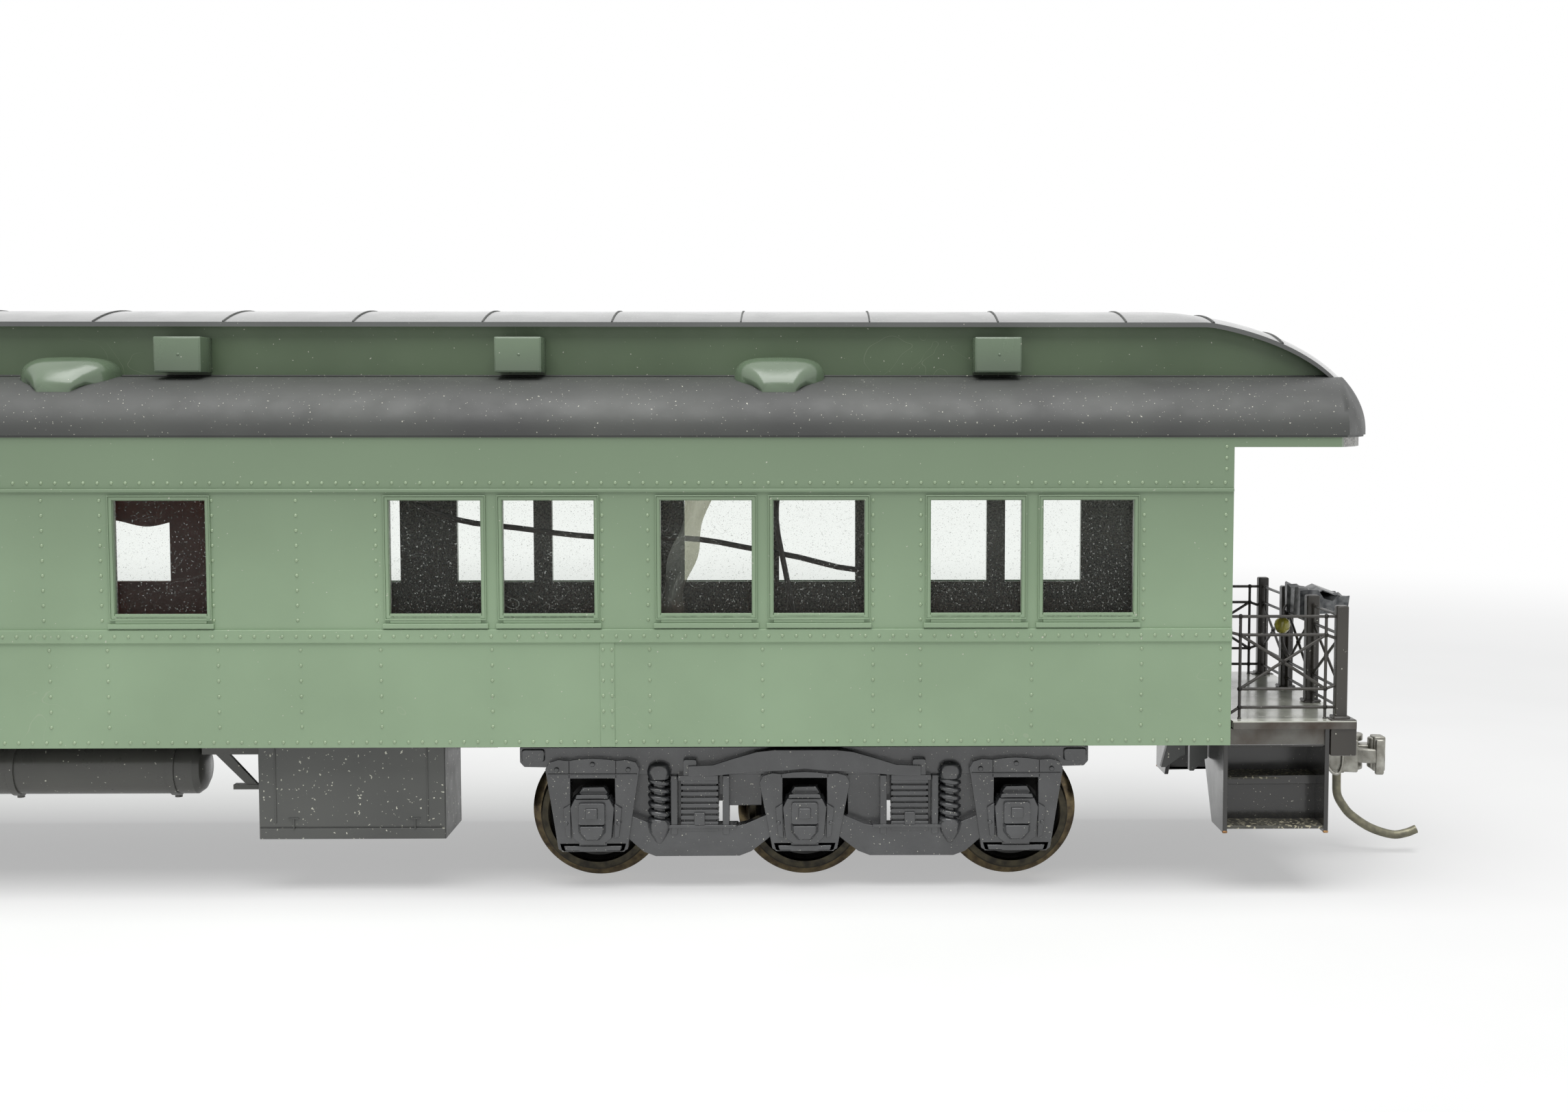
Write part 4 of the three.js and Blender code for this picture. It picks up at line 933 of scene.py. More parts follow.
def side_casting(bm, x0, side):
    top = [(-26.4, 13.3)] + [(-26.4, 11.9), (-26.0, 11.45), (-23.6, 11.4), (-22.5, 10.7),
                             (22.5, 10.7), (23.6, 11.4), (26.0, 11.45), (26.4, 11.9)] + [(26.4, 13.3)]
    side_plate(bm, shifted(top, x0), FRAME_IN, 13.45, side)
    for end in (-1, 1):
        lip = rounded([(end * 24.0, 13.2), (end * 24.0, 11.9), (end * 26.3, 11.9),
                       (end * 26.3, 13.2)], 0.3, 2)
        side_plate(bm, shifted(lip, x0), 13.3, 13.75, side, 0.15)
    for spot, (half_top, half_bottom, top_z) in ((-AXLE_STEP, (4.35, 3.1, 12.3)),
                                                 (0.0, (4.2, 2.9, 11.0)),
                                                 (AXLE_STEP, (4.35, 3.1, 12.3))):
        x = x0 + spot
        half, low, high = PEDESTAL_SLOT
        for out in (-1, 1):
            leg = [(out * half, low - 1.2), (out * half, high)] + \
                  [(out * half, top_z - 0.1), (out * (half_top - 1.2), top_z),
                   (out * (half_top - 0.35), top_z - 0.25), (out * half_top, top_z - 0.9),
                   (out * (half_bottom + 0.1), 3.9), (out * (half_bottom - 0.4), 3.65),
                   (out * 1.2, 3.65), (out * 1.2, low - 1.2)]
            side_plate(bm, shifted(leg, x), FRAME_IN, FRAME_OUT, side)
        bridge = [(-half - 0.2, high), (-half - 0.2, top_z - 0.1)] + \
            arched(-1.6, top_z, 1.6, top_z, 0.12, 4) + [(half + 0.2, top_z - 0.1), (half + 0.2, high)]
        side_plate(bm, shifted(bridge, x), FRAME_IN, FRAME_OUT, side)
        tie = [(-half_bottom + 0.2, 3.65), (-half_bottom - 0.05, 4.5), (half_bottom + 0.05, 4.5),
               (half_bottom - 0.2, 3.65)]
        side_plate(bm, shifted(tie, x), FRAME_IN, FRAME_OUT, side)
        rim = [(-half_bottom + 0.5, 3.8), (-half_bottom + 0.35, 4.25), (half_bottom - 0.35, 4.25),
               (half_bottom - 0.5, 3.8)]
        side_plate(bm, shifted(rim, x), FRAME_OUT - 0.1, FRAME_OUT + 0.25, side, 0.1)
        axle_box(bm, x, side)
        if spot:
            for bx, bz in ((-3.3, 11.35), (0.0, 11.85), (3.3, 11.35)):
                turned(bm, [(0, 0), (0.27, 0), (0.24, 0.18), (0, 0.24)], (0, side, 0),
                       (x + bx, side * FRAME_OUT, bz), 8)
            band = [(-half_top + 0.25, 10.85), (-half_top + 0.2, 11.0), (half_top - 0.2, 11.0),
                    (half_top - 0.25, 10.85)]
            side_plate(bm, shifted(band, x), FRAME_OUT - 0.1, FRAME_OUT + 0.12, side)


def truss_bar(bm, x0, side):
    """The bar that arches over the middle axle box and meets the spring planks."""
    low = [(-10.9, 10.75), (-9.6, 10.75)] + arched(-8.6, 10.8, 8.6, 10.8, 0.5, 12) + \
          [(9.6, 10.75), (10.9, 10.75)]
    high = [(10.9, 11.75), (8.6, 11.85), (6.6, 12.5), (4.6, 13.1), (3.0, 13.3), (-3.0, 13.3),
            (-4.6, 13.1), (-6.6, 12.5), (-8.6, 11.85), (-10.9, 11.75)]
    side_plate(bm, shifted(low + high, x0), 13.3, 14.75, side, 0.15)
    for end in (-1, 1):
        ear = rounded([(end * 9.9, 10.5), (end * 11.3, 10.5), (end * 11.3, 12.4),
                       (end * 9.9, 12.4)], 0.3, 2)
        side_plate(bm, shifted(ear, x0), 13.2, 14.5, side, 0.1)
        seat = [(end * 7.9, 10.3), (end * 11.8, 10.3), (end * 11.8, 10.85), (end * 7.9, 10.85)]
        side_plate(bm, shifted(seat, x0), 12.4, 14.55, side, 0.1)


def equalizer(bm, x0, side, end):
    """Boat-shaped beam from the outer axle box to the middle one."""
    far, near = AXLE_STEP - 2.4, 2.3
    hull = [(far, 6.6), (far - 0.5, 4.9), (far - 2.1, 3.5), (far - 3.2, 3.05), (near + 3.6, 3.05),
            (near + 2.5, 3.5), (near + 0.6, 5.0), (near, 6.4), (near, 7.6), (near + 1.0, 7.1),
            (near + 3.0, 6.2), (near + 4.1, 5.95), (far - 3.9, 5.95), (far - 2.6, 6.3), (far, 7.4)]
    side_plate(bm, shifted([(end * px, pz) for px, pz in hull], x0), 12.3, 14.0, side, 0.2)
    lip = [(far - 3.6, 5.8), (near + 3.9, 5.8), (near + 3.9, 6.12), (far - 3.6, 6.12)]
    side_plate(bm, shifted([(end * px, pz) for px, pz in lip], x0), 12.3, 14.25, side, 0.08)


for end_name in ("rear", "front"):
    x0 = rear_truck_x if end_name == "rear" else -rear_truck_x
    for hand, side in (("left", 1), ("right", -1)):
        bm = bmesh.new()
        side_casting(bm, x0, side)
        truss_bar(bm, x0, side)
        for end in (-1, 1):
            equalizer(bm, x0, side, end)
            # A web behind the springs closes most of the casting.
            for near, far, low in ((11.5, 16.6, 5.2), (4.0, 7.4, 5.2 if end > 0 else 7.6)):
                web = [(end * near, low), (end * near, 10.8), (end * far, 10.8), (end * far, low)]
                side_plate(bm, shifted(web, x0), 12.2, 12.5, side)
            for post in (7.3, 12.1):
                strut = [(end * (post - 0.32), 5.1), (end * (post - 0.32), 10.8),
                         (end * (post + 0.32), 10.8), (end * (post + 0.32), 5.1)]
                side_plate(bm, shifted(strut, x0), 12.6, 14.1, side, 0.08)
            cap = (x0 + end * 13.5, side * 13.7, 10.9)
            turned(bm, [(0, -0.5), (1.0, -0.5), (1.15, 0.2), (0.95, 0.85), (0.5, 1.1), (0, 1.15)],
                   (0, 0, 1), cap, 14)
            cup = (x0 + end * 13.5, side * 13.7, 5.2)
            turned(bm, [(0, -0.9), (0.35, -0.85), (0.95, 0.2), (1.15, 1.0), (1.0, 1.35), (0, 1.4)],
                   (0, 0, 1), cup, 14)
        piece_from(bm, f"{end_name}_side_casting_{hand}", [truck_enamel], f"{end_name}_truck",
                   (f"{end_name}_side_frame_{hand}",), bevel=0.12)
print("side castings: 4")

# %% [markdown]
# The coil springs are a spiral swept by a round wire, and the leaf springs a stack of equal plates.
# Both are trees: the spring's turns, radius and wire, and the stack's number of leaves and their size,
# are their inputs.

# %% Coil and leaf springs
def coil_tree():
    tree, given = geometry_tree("coil_springs", Turns="Float", Coil_radius="Float",
                                Coil_height="Float", Wire_radius="Float", Finish="Material")
    spiral = add(tree, "GeometryNodeCurveSpiral", Resolution=14, Rotations=given["Turns"],
                 Start_Radius=given["Coil radius"], End_Radius=given["Coil radius"],
                 Height=given["Coil height"])
    ring = add(tree, "GeometryNodeCurvePrimitiveCircle", Resolution=7, Radius=given["Wire radius"])
    coil = add(tree, "GeometryNodeCurveToMesh", Curve=spiral.outputs[0],
               Profile_Curve=ring.outputs[0])
    coil.inputs["Fill Caps"].default_value = True
    put = add(tree, "GeometryNodeInstanceOnPoints", Points=given["Geometry"],
              Instance=coil.outputs[0])
    end_tree(tree, put.outputs[0], given["Finish"])
    return tree


def leaf_tree():
    tree, given = geometry_tree("leaf_springs", Leaves="Int", Leaf_gap="Vector",
                                Leaf_size="Vector", Finish="Material")
    leaf = add(tree, "GeometryNodeMeshCube", Size=given["Leaf size"])
    stack = add(tree, "GeometryNodeMeshLine", {"mode": "OFFSET"}, Count=given["Leaves"],
                Offset=given["Leaf gap"])
    pile = add(tree, "GeometryNodeInstanceOnPoints", Points=stack.outputs[0],
               Instance=leaf.outputs[0])
    made = add(tree, "GeometryNodeRealizeInstances", Geometry=pile.outputs[0])
    put = add(tree, "GeometryNodeInstanceOnPoints", Points=given["Geometry"],
              Instance=made.outputs[0])
    end_tree(tree, put.outputs[0], given["Finish"])
    return tree


coils, leaves = coil_tree(), leaf_tree()
LEAVES, LEAF_PITCH = 9, 0.56
for end_name, x0 in (("rear", rear_truck_x), ("front", -rear_truck_x)):
    spots = [(x0 + e * 13.5, s * 13.7, 6.3) for e in (-1, 1) for s in (-1, 1)]
    mesh = grow(f"{end_name}_coil_springs", spots, coils, truck_enamel, Turns=6.0,
                Coil_radius=0.8 * MM, Coil_height=4.4 * MM, Wire_radius=0.27 * MM)
    settle(f"{end_name}_coil_springs", mesh, [truck_enamel], f"{end_name}_truck",
           in_frame=True)
    cores = bmesh.new()
    for x, y, z in spots:
        turned(cores, [(0, 0), (0.62, 0), (0.62, 4.6), (0, 4.6)], (0, 0, 1), (x, y, z), 10)
    piece_from(cores, f"{end_name}_spring_cores", [truck_enamel], f"{end_name}_truck")
    spots = [(x0 + e * 9.75, s * 13.2, 5.65) for e in (-1, 1) for s in (-1, 1)]
    mesh = grow(f"{end_name}_leaf_springs", spots, leaves, truck_enamel, Leaves=LEAVES,
                Leaf_gap=Vector((0, 0, LEAF_PITCH)) * MM, Leaf_size=Vector((3.5, 1.7, 0.4)) * MM)
    settle(f"{end_name}_leaf_springs", mesh, [truck_enamel], f"{end_name}_truck",
           bevel=0.07, in_frame=True)
    backs = bmesh.new()
    for x, y, z in spots:
        s = 1 if y > 0 else -1
        block(backs, (x - 1.6, min(s * 12.3, s * 13.6), 5.2), (x + 1.6, max(s * 12.3, s * 13.6), 10.6))
        block(backs, (x - 0.5, min(s * 13.9, s * 14.3), 6.1), (x + 0.5, max(s * 13.9, s * 14.3), 7.3))
    piece_from(backs, f"{end_name}_spring_backs", [truck_enamel], f"{end_name}_truck",
               bevel=0.08)
print("springs: 8 coils and 8 stacks of", LEAVES, "leaves")

# %% [markdown]
# ## Wheels
# A wheel is turned, so its section is drawn once and spun. The tread and the face of the tyre are
# worn to a bronze tone, and the dished plate inside stays black.

# %% Wheels
TREAD, FLANGE, WIDE = 10.9 / 2, 12.8 / 2, 2.8


def turned_wheel(name, body):
    low, high = node_box(name)
    side = 1 if (low.y + high.y) > 0 else -1
    inner = min(abs(low.y), abs(high.y))
    centre = ((low.x + high.x) / 2, side * inner, AXLE_Z)
    profile = [(1.15, 0), (4.2, 0.25), (5.6, 0.0), (FLANGE - 0.25, 0), (FLANGE, 0.2),
               (FLANGE, 0.38), (FLANGE - 0.35, 0.62), (TREAD + 0.12, 0.8), (TREAD, 1.0),
               (TREAD - 0.06, WIDE - 0.12), (TREAD - 0.2, WIDE), (TREAD - 0.75, WIDE),
               (TREAD - 0.95, WIDE - 0.2), (TREAD - 1.3, WIDE - 0.75), (3.0, WIDE - 0.9),
               (2.0, WIDE - 0.45), (1.7, WIDE - 0.1), (1.15, WIDE - 0.1)]
    finishes = [0, 0, 1, 1, 1, 1, 1, 1, 1, 2, 2, 2, 0, 0, 0, 0, 0, 0]
    bm = bmesh.new()
    turned(bm, profile, (0, side, 0), centre, 96, finishes)
    return piece_from(bm, name + "_turned", [wheel_plate, worn_flange, tyre_face], body,
                      (name,), sharp=30)


wheel_plate = bare_metal("black_wheel_plate", "#141312", "#201f1d", 0.4, metallic=0.3)
tyre_face = bare_metal("worn_tyre_face", "#302e2a", "#454136", 0.28, grain_mm=0.9)
for body, names in frame["record"]["behaviour"]["bodies"].items():
    for name in names if "wheelset" in body else ():
        if "wheel" in name:
            turned_wheel(name, body)
print("wheels: 12")

# %% [markdown]
# ## Underbody equipment
# The battery box is a folded box with a lid line and two hinges near its foot. The air reservoir
# is a turned tank held by three bands, and a strut braces it to the floor.

# %% Battery box, reservoir and brackets
battery_low, battery_high = node_box("battery_box")
bx0, bx1 = battery_low.x, battery_high.x
by, bz = battery_low.y, battery_low.z
bm = bmesh.new()
block(bm, (bx0, by + 0.25, bz), (bx1, battery_high.y, SILL_Z))
block(bm, (bx0 + 0.05, by + 0.1, bz + 0.05), (bx1 - 0.05, by + 0.4, 6.15))
block(bm, (bx0 + 0.05, by + 0.12, 6.28), (bx1 - 0.05, by + 0.4, SILL_Z - 0.1))
for x in (bx0 + 3.2, bx1 - 2.8):
    block(bm, (x - 0.07, by - 0.02, 6.0), (x + 0.07, by + 0.3, 7.1))
    block(bm, (x - 0.5, by - 0.02, 7.0), (x + 0.5, by + 0.3, 7.12))
block(bm, (bx0 + 1.5, by + 0.02, 6.6), (bx0 + 1.64, by + 0.3, SILL_Z - 0.3))
block(bm, (bx1 - 1.7, by + 0.02, 6.6), (bx1 - 1.56, by + 0.3, SILL_Z - 0.3))
piece_from(bm, "battery_box_folded", [battery_enamel], "coach",
           ("battery_box",), bevel=0.06)

tank_low, tank_high = node_box("air_reservoir")
TANK_R, tank_z, tank_y = 2.5, (tank_low.z + tank_high.z) / 2, (tank_low.y + tank_high.y) / 2
t0, t1 = tank_low.x, tank_high.x
tank = [(0, t0), (1.4, t0 + 0.1), (2.1, t0 + 0.45), (TANK_R, t0 + 1.0)]
for x in (t0 + 2.7, t0 + 15.8, t1 - 3.0):
    tank += [(TANK_R, x - 0.35), (TANK_R + 0.16, x - 0.33), (TANK_R + 0.16, x + 0.33),
             (TANK_R, x + 0.35)]
tank += [(TANK_R, t1 - 1.0), (2.1, t1 - 0.45), (1.4, t1 - 0.1), (0, t1)]
bm = bmesh.new()
turned(bm, tank, (1, 0, 0), (0, tank_y, tank_z), 48)
for x in (t0 + 2.7, t0 + 15.8, t1 - 3.0):
    block(bm, (x - 0.33, tank_y - 0.5, tank_z + 2.2), (x + 0.33, tank_y + 0.5, SILL_Z + 0.1))
    turned(bm, [(0, 0), (0.35, 0), (0.35, 0.3), (0, 0.3)], (0, 0, -1),
           (x, tank_y, tank_z - TANK_R - 0.05), 10)
strut = [(t1 + 0.6, 13.0), (t1 + 4.2, 9.35), (t1 + 4.9, 9.65), (t1 + 1.6, 13.3)]
plate(bm, strut, tank_y - 1.6, tank_y - 1.1)
block(bm, (t1 - 0.2, tank_y - 1.8, 12.6), (t1 + 5.2, tank_y + 1.5, SILL_Z + 0.05))
block(bm, (t1 + 2.6, tank_y - 1.7, 9.3), (t1 + 5.0, tank_y - 0.8, 9.75))
piece_from(bm, "air_reservoir_turned", [tank_enamel], "coach",
           ("air_reservoir",), sharp=25)

bm = bmesh.new()
for x0, x1, foot, lean in ((127.0, 129.3, 10.7, 0.9), (129.7, 131.4, 10.35, 0.0)):
    bracket = [(x0 + lean, SILL_Z + 0.1), (x0, foot), (x0 + 0.4, foot), (x1 - 0.5, foot + 1.0),
               (x1, foot + 1.2), (x1, SILL_Z + 0.1)]
    for side in (-1, 1):
        near, far = side * 9.5, side * 10.4
        plate(bm, bracket, min(near, far), max(near, far))
piece_from(bm, "sill_brackets", [under_enamel], "coach", bevel=0.05)
print("underbody pieces: 3")

# %% [markdown]
# ## Steps
# A step box is soldered from sheet: two cheeks with a cut corner, and two treads whose front
# edges are rolled down. The paint is worn through to brass at the lower corners, and the treads
# carry grit.

# %% Step boxes
STEP_TOP, CHEEK = 15.45, 0.42
for end_name in ("rear", "front"):
    for hand, side in (("left", 1), ("right", -1)):
        low, high = node_box(f"{end_name}_steps_{hand}")
        x0, x1, out = low.x, high.x, max(abs(low.y), abs(high.y))
        foot = low.z
        top = STEP_TOP if end_name == "rear" else SILL_Z
        bm = bmesh.new()
        for x in (x0, x1 - CHEEK):
            outline = [(out, top), (out, foot), (out - 4.9, foot), (out - 8.6, foot + 5.4),
                       (out - 8.6, top)]
            ring = [[bm.verts.new((cx, side * y, z)) for y, z in outline] for cx in (x, x + CHEEK)]
            bm.faces.new(ring[0])
            bm.faces.new(ring[1][::-1])
            for i in range(len(outline)):
                j = (i + 1) % len(outline)
                bm.faces.new((ring[0][i], ring[0][j], ring[1][j], ring[1][i]))
        piece_from(bm, f"{end_name}_step_cheeks_{hand}", [step_enamel], "coach",
                   (f"{end_name}_steps_{hand}",), bevel=0.07)
        bm = bmesh.new()
        a, b = x0 + CHEEK - 0.05, x1 - CHEEK + 0.05

        def tread(y0, y1, z0, z1, finish=0):
            block(bm, (a, min(side * y0, side * y1), z0), (b, max(side * y0, side * y1), z1), finish)

        low_z, mid_z = foot + 0.35, foot + 4.45
        tread(out - 0.1, out - 3.7, low_z, low_z + 0.3, 1)
        tread(out - 3.3, out - 3.7, low_z, mid_z + 0.2)
        tread(out - 2.9, out - 6.8, mid_z, mid_z + 0.3, 1)
        tread(out - 2.9, out - 3.2, mid_z - 0.5, mid_z + 0.3)
        tread(out - 6.4, out - 6.8, mid_z, SILL_Z - 0.1)
        tread(out - 6.4, out - 8.4, SILL_Z - 0.6, SILL_Z - 0.2)
        if end_name == "rear":
            tread(out - 0.25, out - 0.6, SILL_Z - 0.1, top - 0.05, 2)
            wire(bm, [(a, side * (out - 0.35), SILL_Z - 0.15), (b, side * (out - 0.35),
                                                                 SILL_Z - 0.15)], 0.16, 8)
        piece_from(bm, f"{end_name}_step_treads_{hand}", [step_enamel, tread_grit, riser_worn],
                   "coach", bevel=0.08)
        bm = bmesh.new()
        for x in (x0 - 0.02, x1 - CHEEK - 0.02):
            block(bm, (x, min(side * (out - 0.3), side * (out + 0.04)), foot - 0.03),
                  (x + CHEEK + 0.04, max(side * (out - 0.3), side * (out + 0.04)), foot + 0.2))
        piece_from(bm, f"{end_name}_step_corners_{hand}", [brass_sheet], "coach",
                   bevel=0.08)
print("step boxes: 4")

# %% Dark edge of the deck
deck_low, deck_high = node_box("platform_deck")
edge_top, edge_foot = deck_high.z - 0.1, deck_high.z - 0.75
bm = bmesh.new()
for side in (-1, 1):
    near, far = side * (deck_high.y - 0.1), side * (deck_high.y + 0.05)
    block(bm, (END_X + 0.3, min(near, far), edge_foot), (deck_high.x, max(near, far), edge_top))
block(bm, (deck_high.x - 0.1, -deck_high.y, edge_foot), (deck_high.x + 0.05, deck_high.y, edge_top))
piece_from(bm, "deck_edge_strip", [riser_worn], "coach", bevel=0.04)
print("deck edge from", round(edge_foot, 2), "to", round(edge_top, 2), "mm")

# %% [markdown]
# ## Railings
# The railings are etched from one thin sheet: flat bars with a crossed brace, and a small fillet where
# bars meet. They are drawn as lines only. One tree sweeps every line with a round bar and puts a small
# ball on each joint.

# %% Etched railings
def etched_tree():
    tree, given = geometry_tree("etched_bars", Bar_width="Float", Bar_thickness="Float",
                                Joint_radius="Float", Finish="Material")
    lines = add(tree, "GeometryNodeMeshToCurve", Mesh=given["Geometry"])
    section = add(tree, "GeometryNodeCurvePrimitiveCircle", Resolution=8,
                  Radius=given["Bar width"])
    bars = add(tree, "GeometryNodeCurveToMesh", Curve=lines.outputs[0],
               Profile_Curve=section.outputs[0])
    bars.inputs["Fill Caps"].default_value = True
    ball = add(tree, "GeometryNodeMeshUVSphere", Segments=8, Rings=6, Radius=given["Joint radius"])
    blobs = add(tree, "GeometryNodeInstanceOnPoints", Points=given["Geometry"],
                Instance=ball.outputs[0])
    both = add(tree, "GeometryNodeJoinGeometry")
    tree.links.new(bars.outputs[0], both.inputs[0])
    tree.links.new(blobs.outputs[0], both.inputs[0])
    end_tree(tree, both.outputs[0], given["Finish"])
    return tree


RAIL_Z = [25.6, 23.9, 18.9, 17.2]
POST_X = node_box("end_railing")[1].x - 0.55
CORNER_Y, GATE_Y, POST_TOP, DECK_Z = 15.5, 5.0, 26.6, 16.15
etched = etched_tree()


def panel(points, edges, at, spans, uprights):
    """Rails and crossed braces between the spans, and uprights, as points and lines."""
    def line(*run):
        first = len(points)
        points.extend(at(u, z) for u, z in run)
        edges.extend((first + i, first + i + 1) for i in range(len(run) - 1))

    for u0, u1 in spans:
        for z in RAIL_Z:
            line((u0, z), (u1, z))
        mid = ((u0 + u1) / 2, (RAIL_Z[1] + RAIL_Z[2]) / 2)
        for start, stop in (((u0, RAIL_Z[1]), (u1, RAIL_Z[2])), ((u0, RAIL_Z[2]), (u1, RAIL_Z[1]))):
            line(start, mid, stop)
    for u, low, high in uprights:
        line((u, low), (u, high))


def railing(name, at, spans, uprights, stands_for):
    points, edges = [], []
    panel(points, edges, at, spans, uprights)
    mesh = grow(name, points, etched, rail_enamel, edges=edges, Bar_width=0.145 * MM,
                Joint_radius=0.24 * MM)
    piece = settle(name, mesh, [rail_enamel], "coach", stands_for, in_frame=True)
    return len(mesh.polygons)


for hand, side in (("left", 1), ("right", -1)):
    wall_x, last = END_X + 1.2, POST_X - 1.4
    faces = railing(f"side_rails_{hand}", lambda x, z: (x, side * CORNER_Y, z),
                    [(wall_x, last)], [(wall_x, RAIL_Z[3], RAIL_Z[0]), (last, RAIL_Z[3], RAIL_Z[0])],
                    (f"side_railing_{hand}",))
    points = [(wall_x, RAIL_Z[0]), (END_X, RAIL_Z[0]), (wall_x, RAIL_Z[1]), (END_X, RAIL_Z[1] + 0.3),
              (wall_x, RAIL_Z[3]), (END_X + 0.1, RAIL_Z[3] - 0.7), (last, RAIL_Z[0]),
              (POST_X, RAIL_Z[0]), (last, RAIL_Z[3]), (POST_X, RAIL_Z[3]), (last, RAIL_Z[1]),
              (POST_X, RAIL_Z[1] - 0.5), (last, RAIL_Z[2]), (POST_X, RAIL_Z[2] + 0.5),
              (wall_x, RAIL_Z[3]), (wall_x, DECK_Z), (last, RAIL_Z[3]), (last, DECK_Z)]
    mesh = grow(f"side_rail_ties_{hand}", [(x, side * CORNER_Y, z) for x, z in points], etched,
                rail_enamel, edges=[(i, i + 1) for i in range(0, len(points), 2)],
                Bar_width=0.14 * MM, Joint_radius=0.2 * MM)
    settle(f"side_rail_ties_{hand}", mesh, [rail_enamel], "coach", in_frame=True)
spans = [(-CORNER_Y, -GATE_Y - 0.5), (-GATE_Y + 0.9, GATE_Y - 0.9), (GATE_Y + 0.5, CORNER_Y)]
ups = [(s * y, DECK_Z, RAIL_Z[0]) for s in (-1, 1) for y in (GATE_Y - 0.9, GATE_Y + 0.9, 13.9)]
faces += railing("end_rails", lambda y, z: (POST_X, y, z), spans, ups, ("end_railing",))

bm = bmesh.new()
for y in (-CORNER_Y, -GATE_Y, GATE_Y, CORNER_Y):
    wide = 0.55 if abs(y) > 10 else 0.62
    block(bm, (POST_X - wide, y - wide, DECK_Z), (POST_X + wide, y + wide, POST_TOP))
    block(bm, (POST_X - wide - 0.25, y - wide - 0.25, DECK_Z), (POST_X + wide + 0.25,
                                                                y + wide + 0.25, DECK_Z + 0.3))
for side in (-1, 1):
    # The corner casting that ties post, deck and end sill together.
    y = side * (CORNER_Y + 0.4)
    block(bm, (POST_X - 1.2, y - 1.1, 12.9), (POST_X + 1.2, y + 0.9, DECK_Z + 0.1))
piece_from(bm, "railing_posts", [rail_enamel], "coach", bevel=0.22)
print("railing faces:", faces)

# %% [markdown]
# ## Sign and lamp
# The sign box on the end rail is a crumpled scrap of thin sheet with a torn flap, so its points
# are pushed about by a fixed seed. The lamp is a small yellow-green bulb on two wire legs.

# %% Crumpled sign and bulb
random.seed(7)
sign_low, sign_high = node_box("tail_sign")
bm = bmesh.new()
nx, ny = 6, 10
sheet_low, sheet_high = {}, {}
for i in range(nx + 1):
    for j in range(ny + 1):
        x = sign_low.x + 0.2 + (sign_high.x - sign_low.x - 0.7) * i / nx
        y = sign_low.y + (sign_high.y - sign_low.y) * j / ny
        rise = 0.35 * math.sin(i * 1.3 + j * 0.9) + random.uniform(-0.18, 0.18)
        z = sign_high.z - 0.4 - 0.16 * i + rise
        x += random.uniform(-0.15, 0.15)
        sheet_high[i, j] = bm.verts.new((x, y, min(z, sign_high.z)))
        skew = random.uniform(-0.15, 0.15)
        sheet_low[i, j] = bm.verts.new((x + skew, y * 0.94, sign_low.z + 0.3 + 0.1 * i + skew))
for i in range(nx):
    for j in range(ny):
        a, b, c, d = (i, j), (i + 1, j), (i + 1, j + 1), (i, j + 1)
        bm.faces.new([sheet_high[k] for k in (a, b, c, d)])
        bm.faces.new([sheet_low[k] for k in (d, c, b, a)])
rim = [(i, 0) for i in range(nx)] + [(nx, j) for j in range(ny)] + \
      [(i, ny) for i in range(nx, 0, -1)] + [(0, j) for j in range(ny, 0, -1)]
for a, b in zip(rim, rim[1:] + rim[:1]):
    bm.faces.new((sheet_high[b], sheet_high[a], sheet_low[a], sheet_low[b]))
piece_from(bm, "sign_box_crumpled", [sign_sheet], "coach", ("tail_sign",), sharp=18)

bm = bmesh.new()
flap = [(sign_low.x + 1.2, sign_high.z - 1.1), (sign_low.x + 2.4, sign_high.z - 0.5),
        (sign_high.x - 0.9, sign_high.z - 1.3), (sign_high.x - 0.2, sign_high.z - 2.1)]
flap_rings = []
for (x, z), wide in zip(flap, (2.6, 2.3, 1.9, 0.9)):
    flap_rings.append([bm.verts.new((x + 0.12 * k, -0.6 + wide * s, z + 0.12 * (s > 0) + d))
                       for s, d, k in ((-1, 0, 0), (1, 0.1, 1), (1, 0.2, 1), (-1, 0.1, 0))])
for a, b in zip(flap_rings, flap_rings[1:]):
    for k in range(4):
        bm.faces.new((a[k], a[(k + 1) % 4], b[(k + 1) % 4], b[k]))
bm.faces.new(flap_rings[0][::-1])
bm.faces.new(flap_rings[-1])
rail_top = RAIL_Z[0]
barb = [(POST_X, -CORNER_Y + 2.6, rail_top), (POST_X + 0.4, -CORNER_Y + 1.3, rail_top + 0.6),
        (POST_X + 0.5, -CORNER_Y + 0.3, rail_top + 0.1)]
wire(bm, barb, 0.16, 6)
piece_from(bm, "sign_flap", [sign_sheet], "coach", sharp=18)

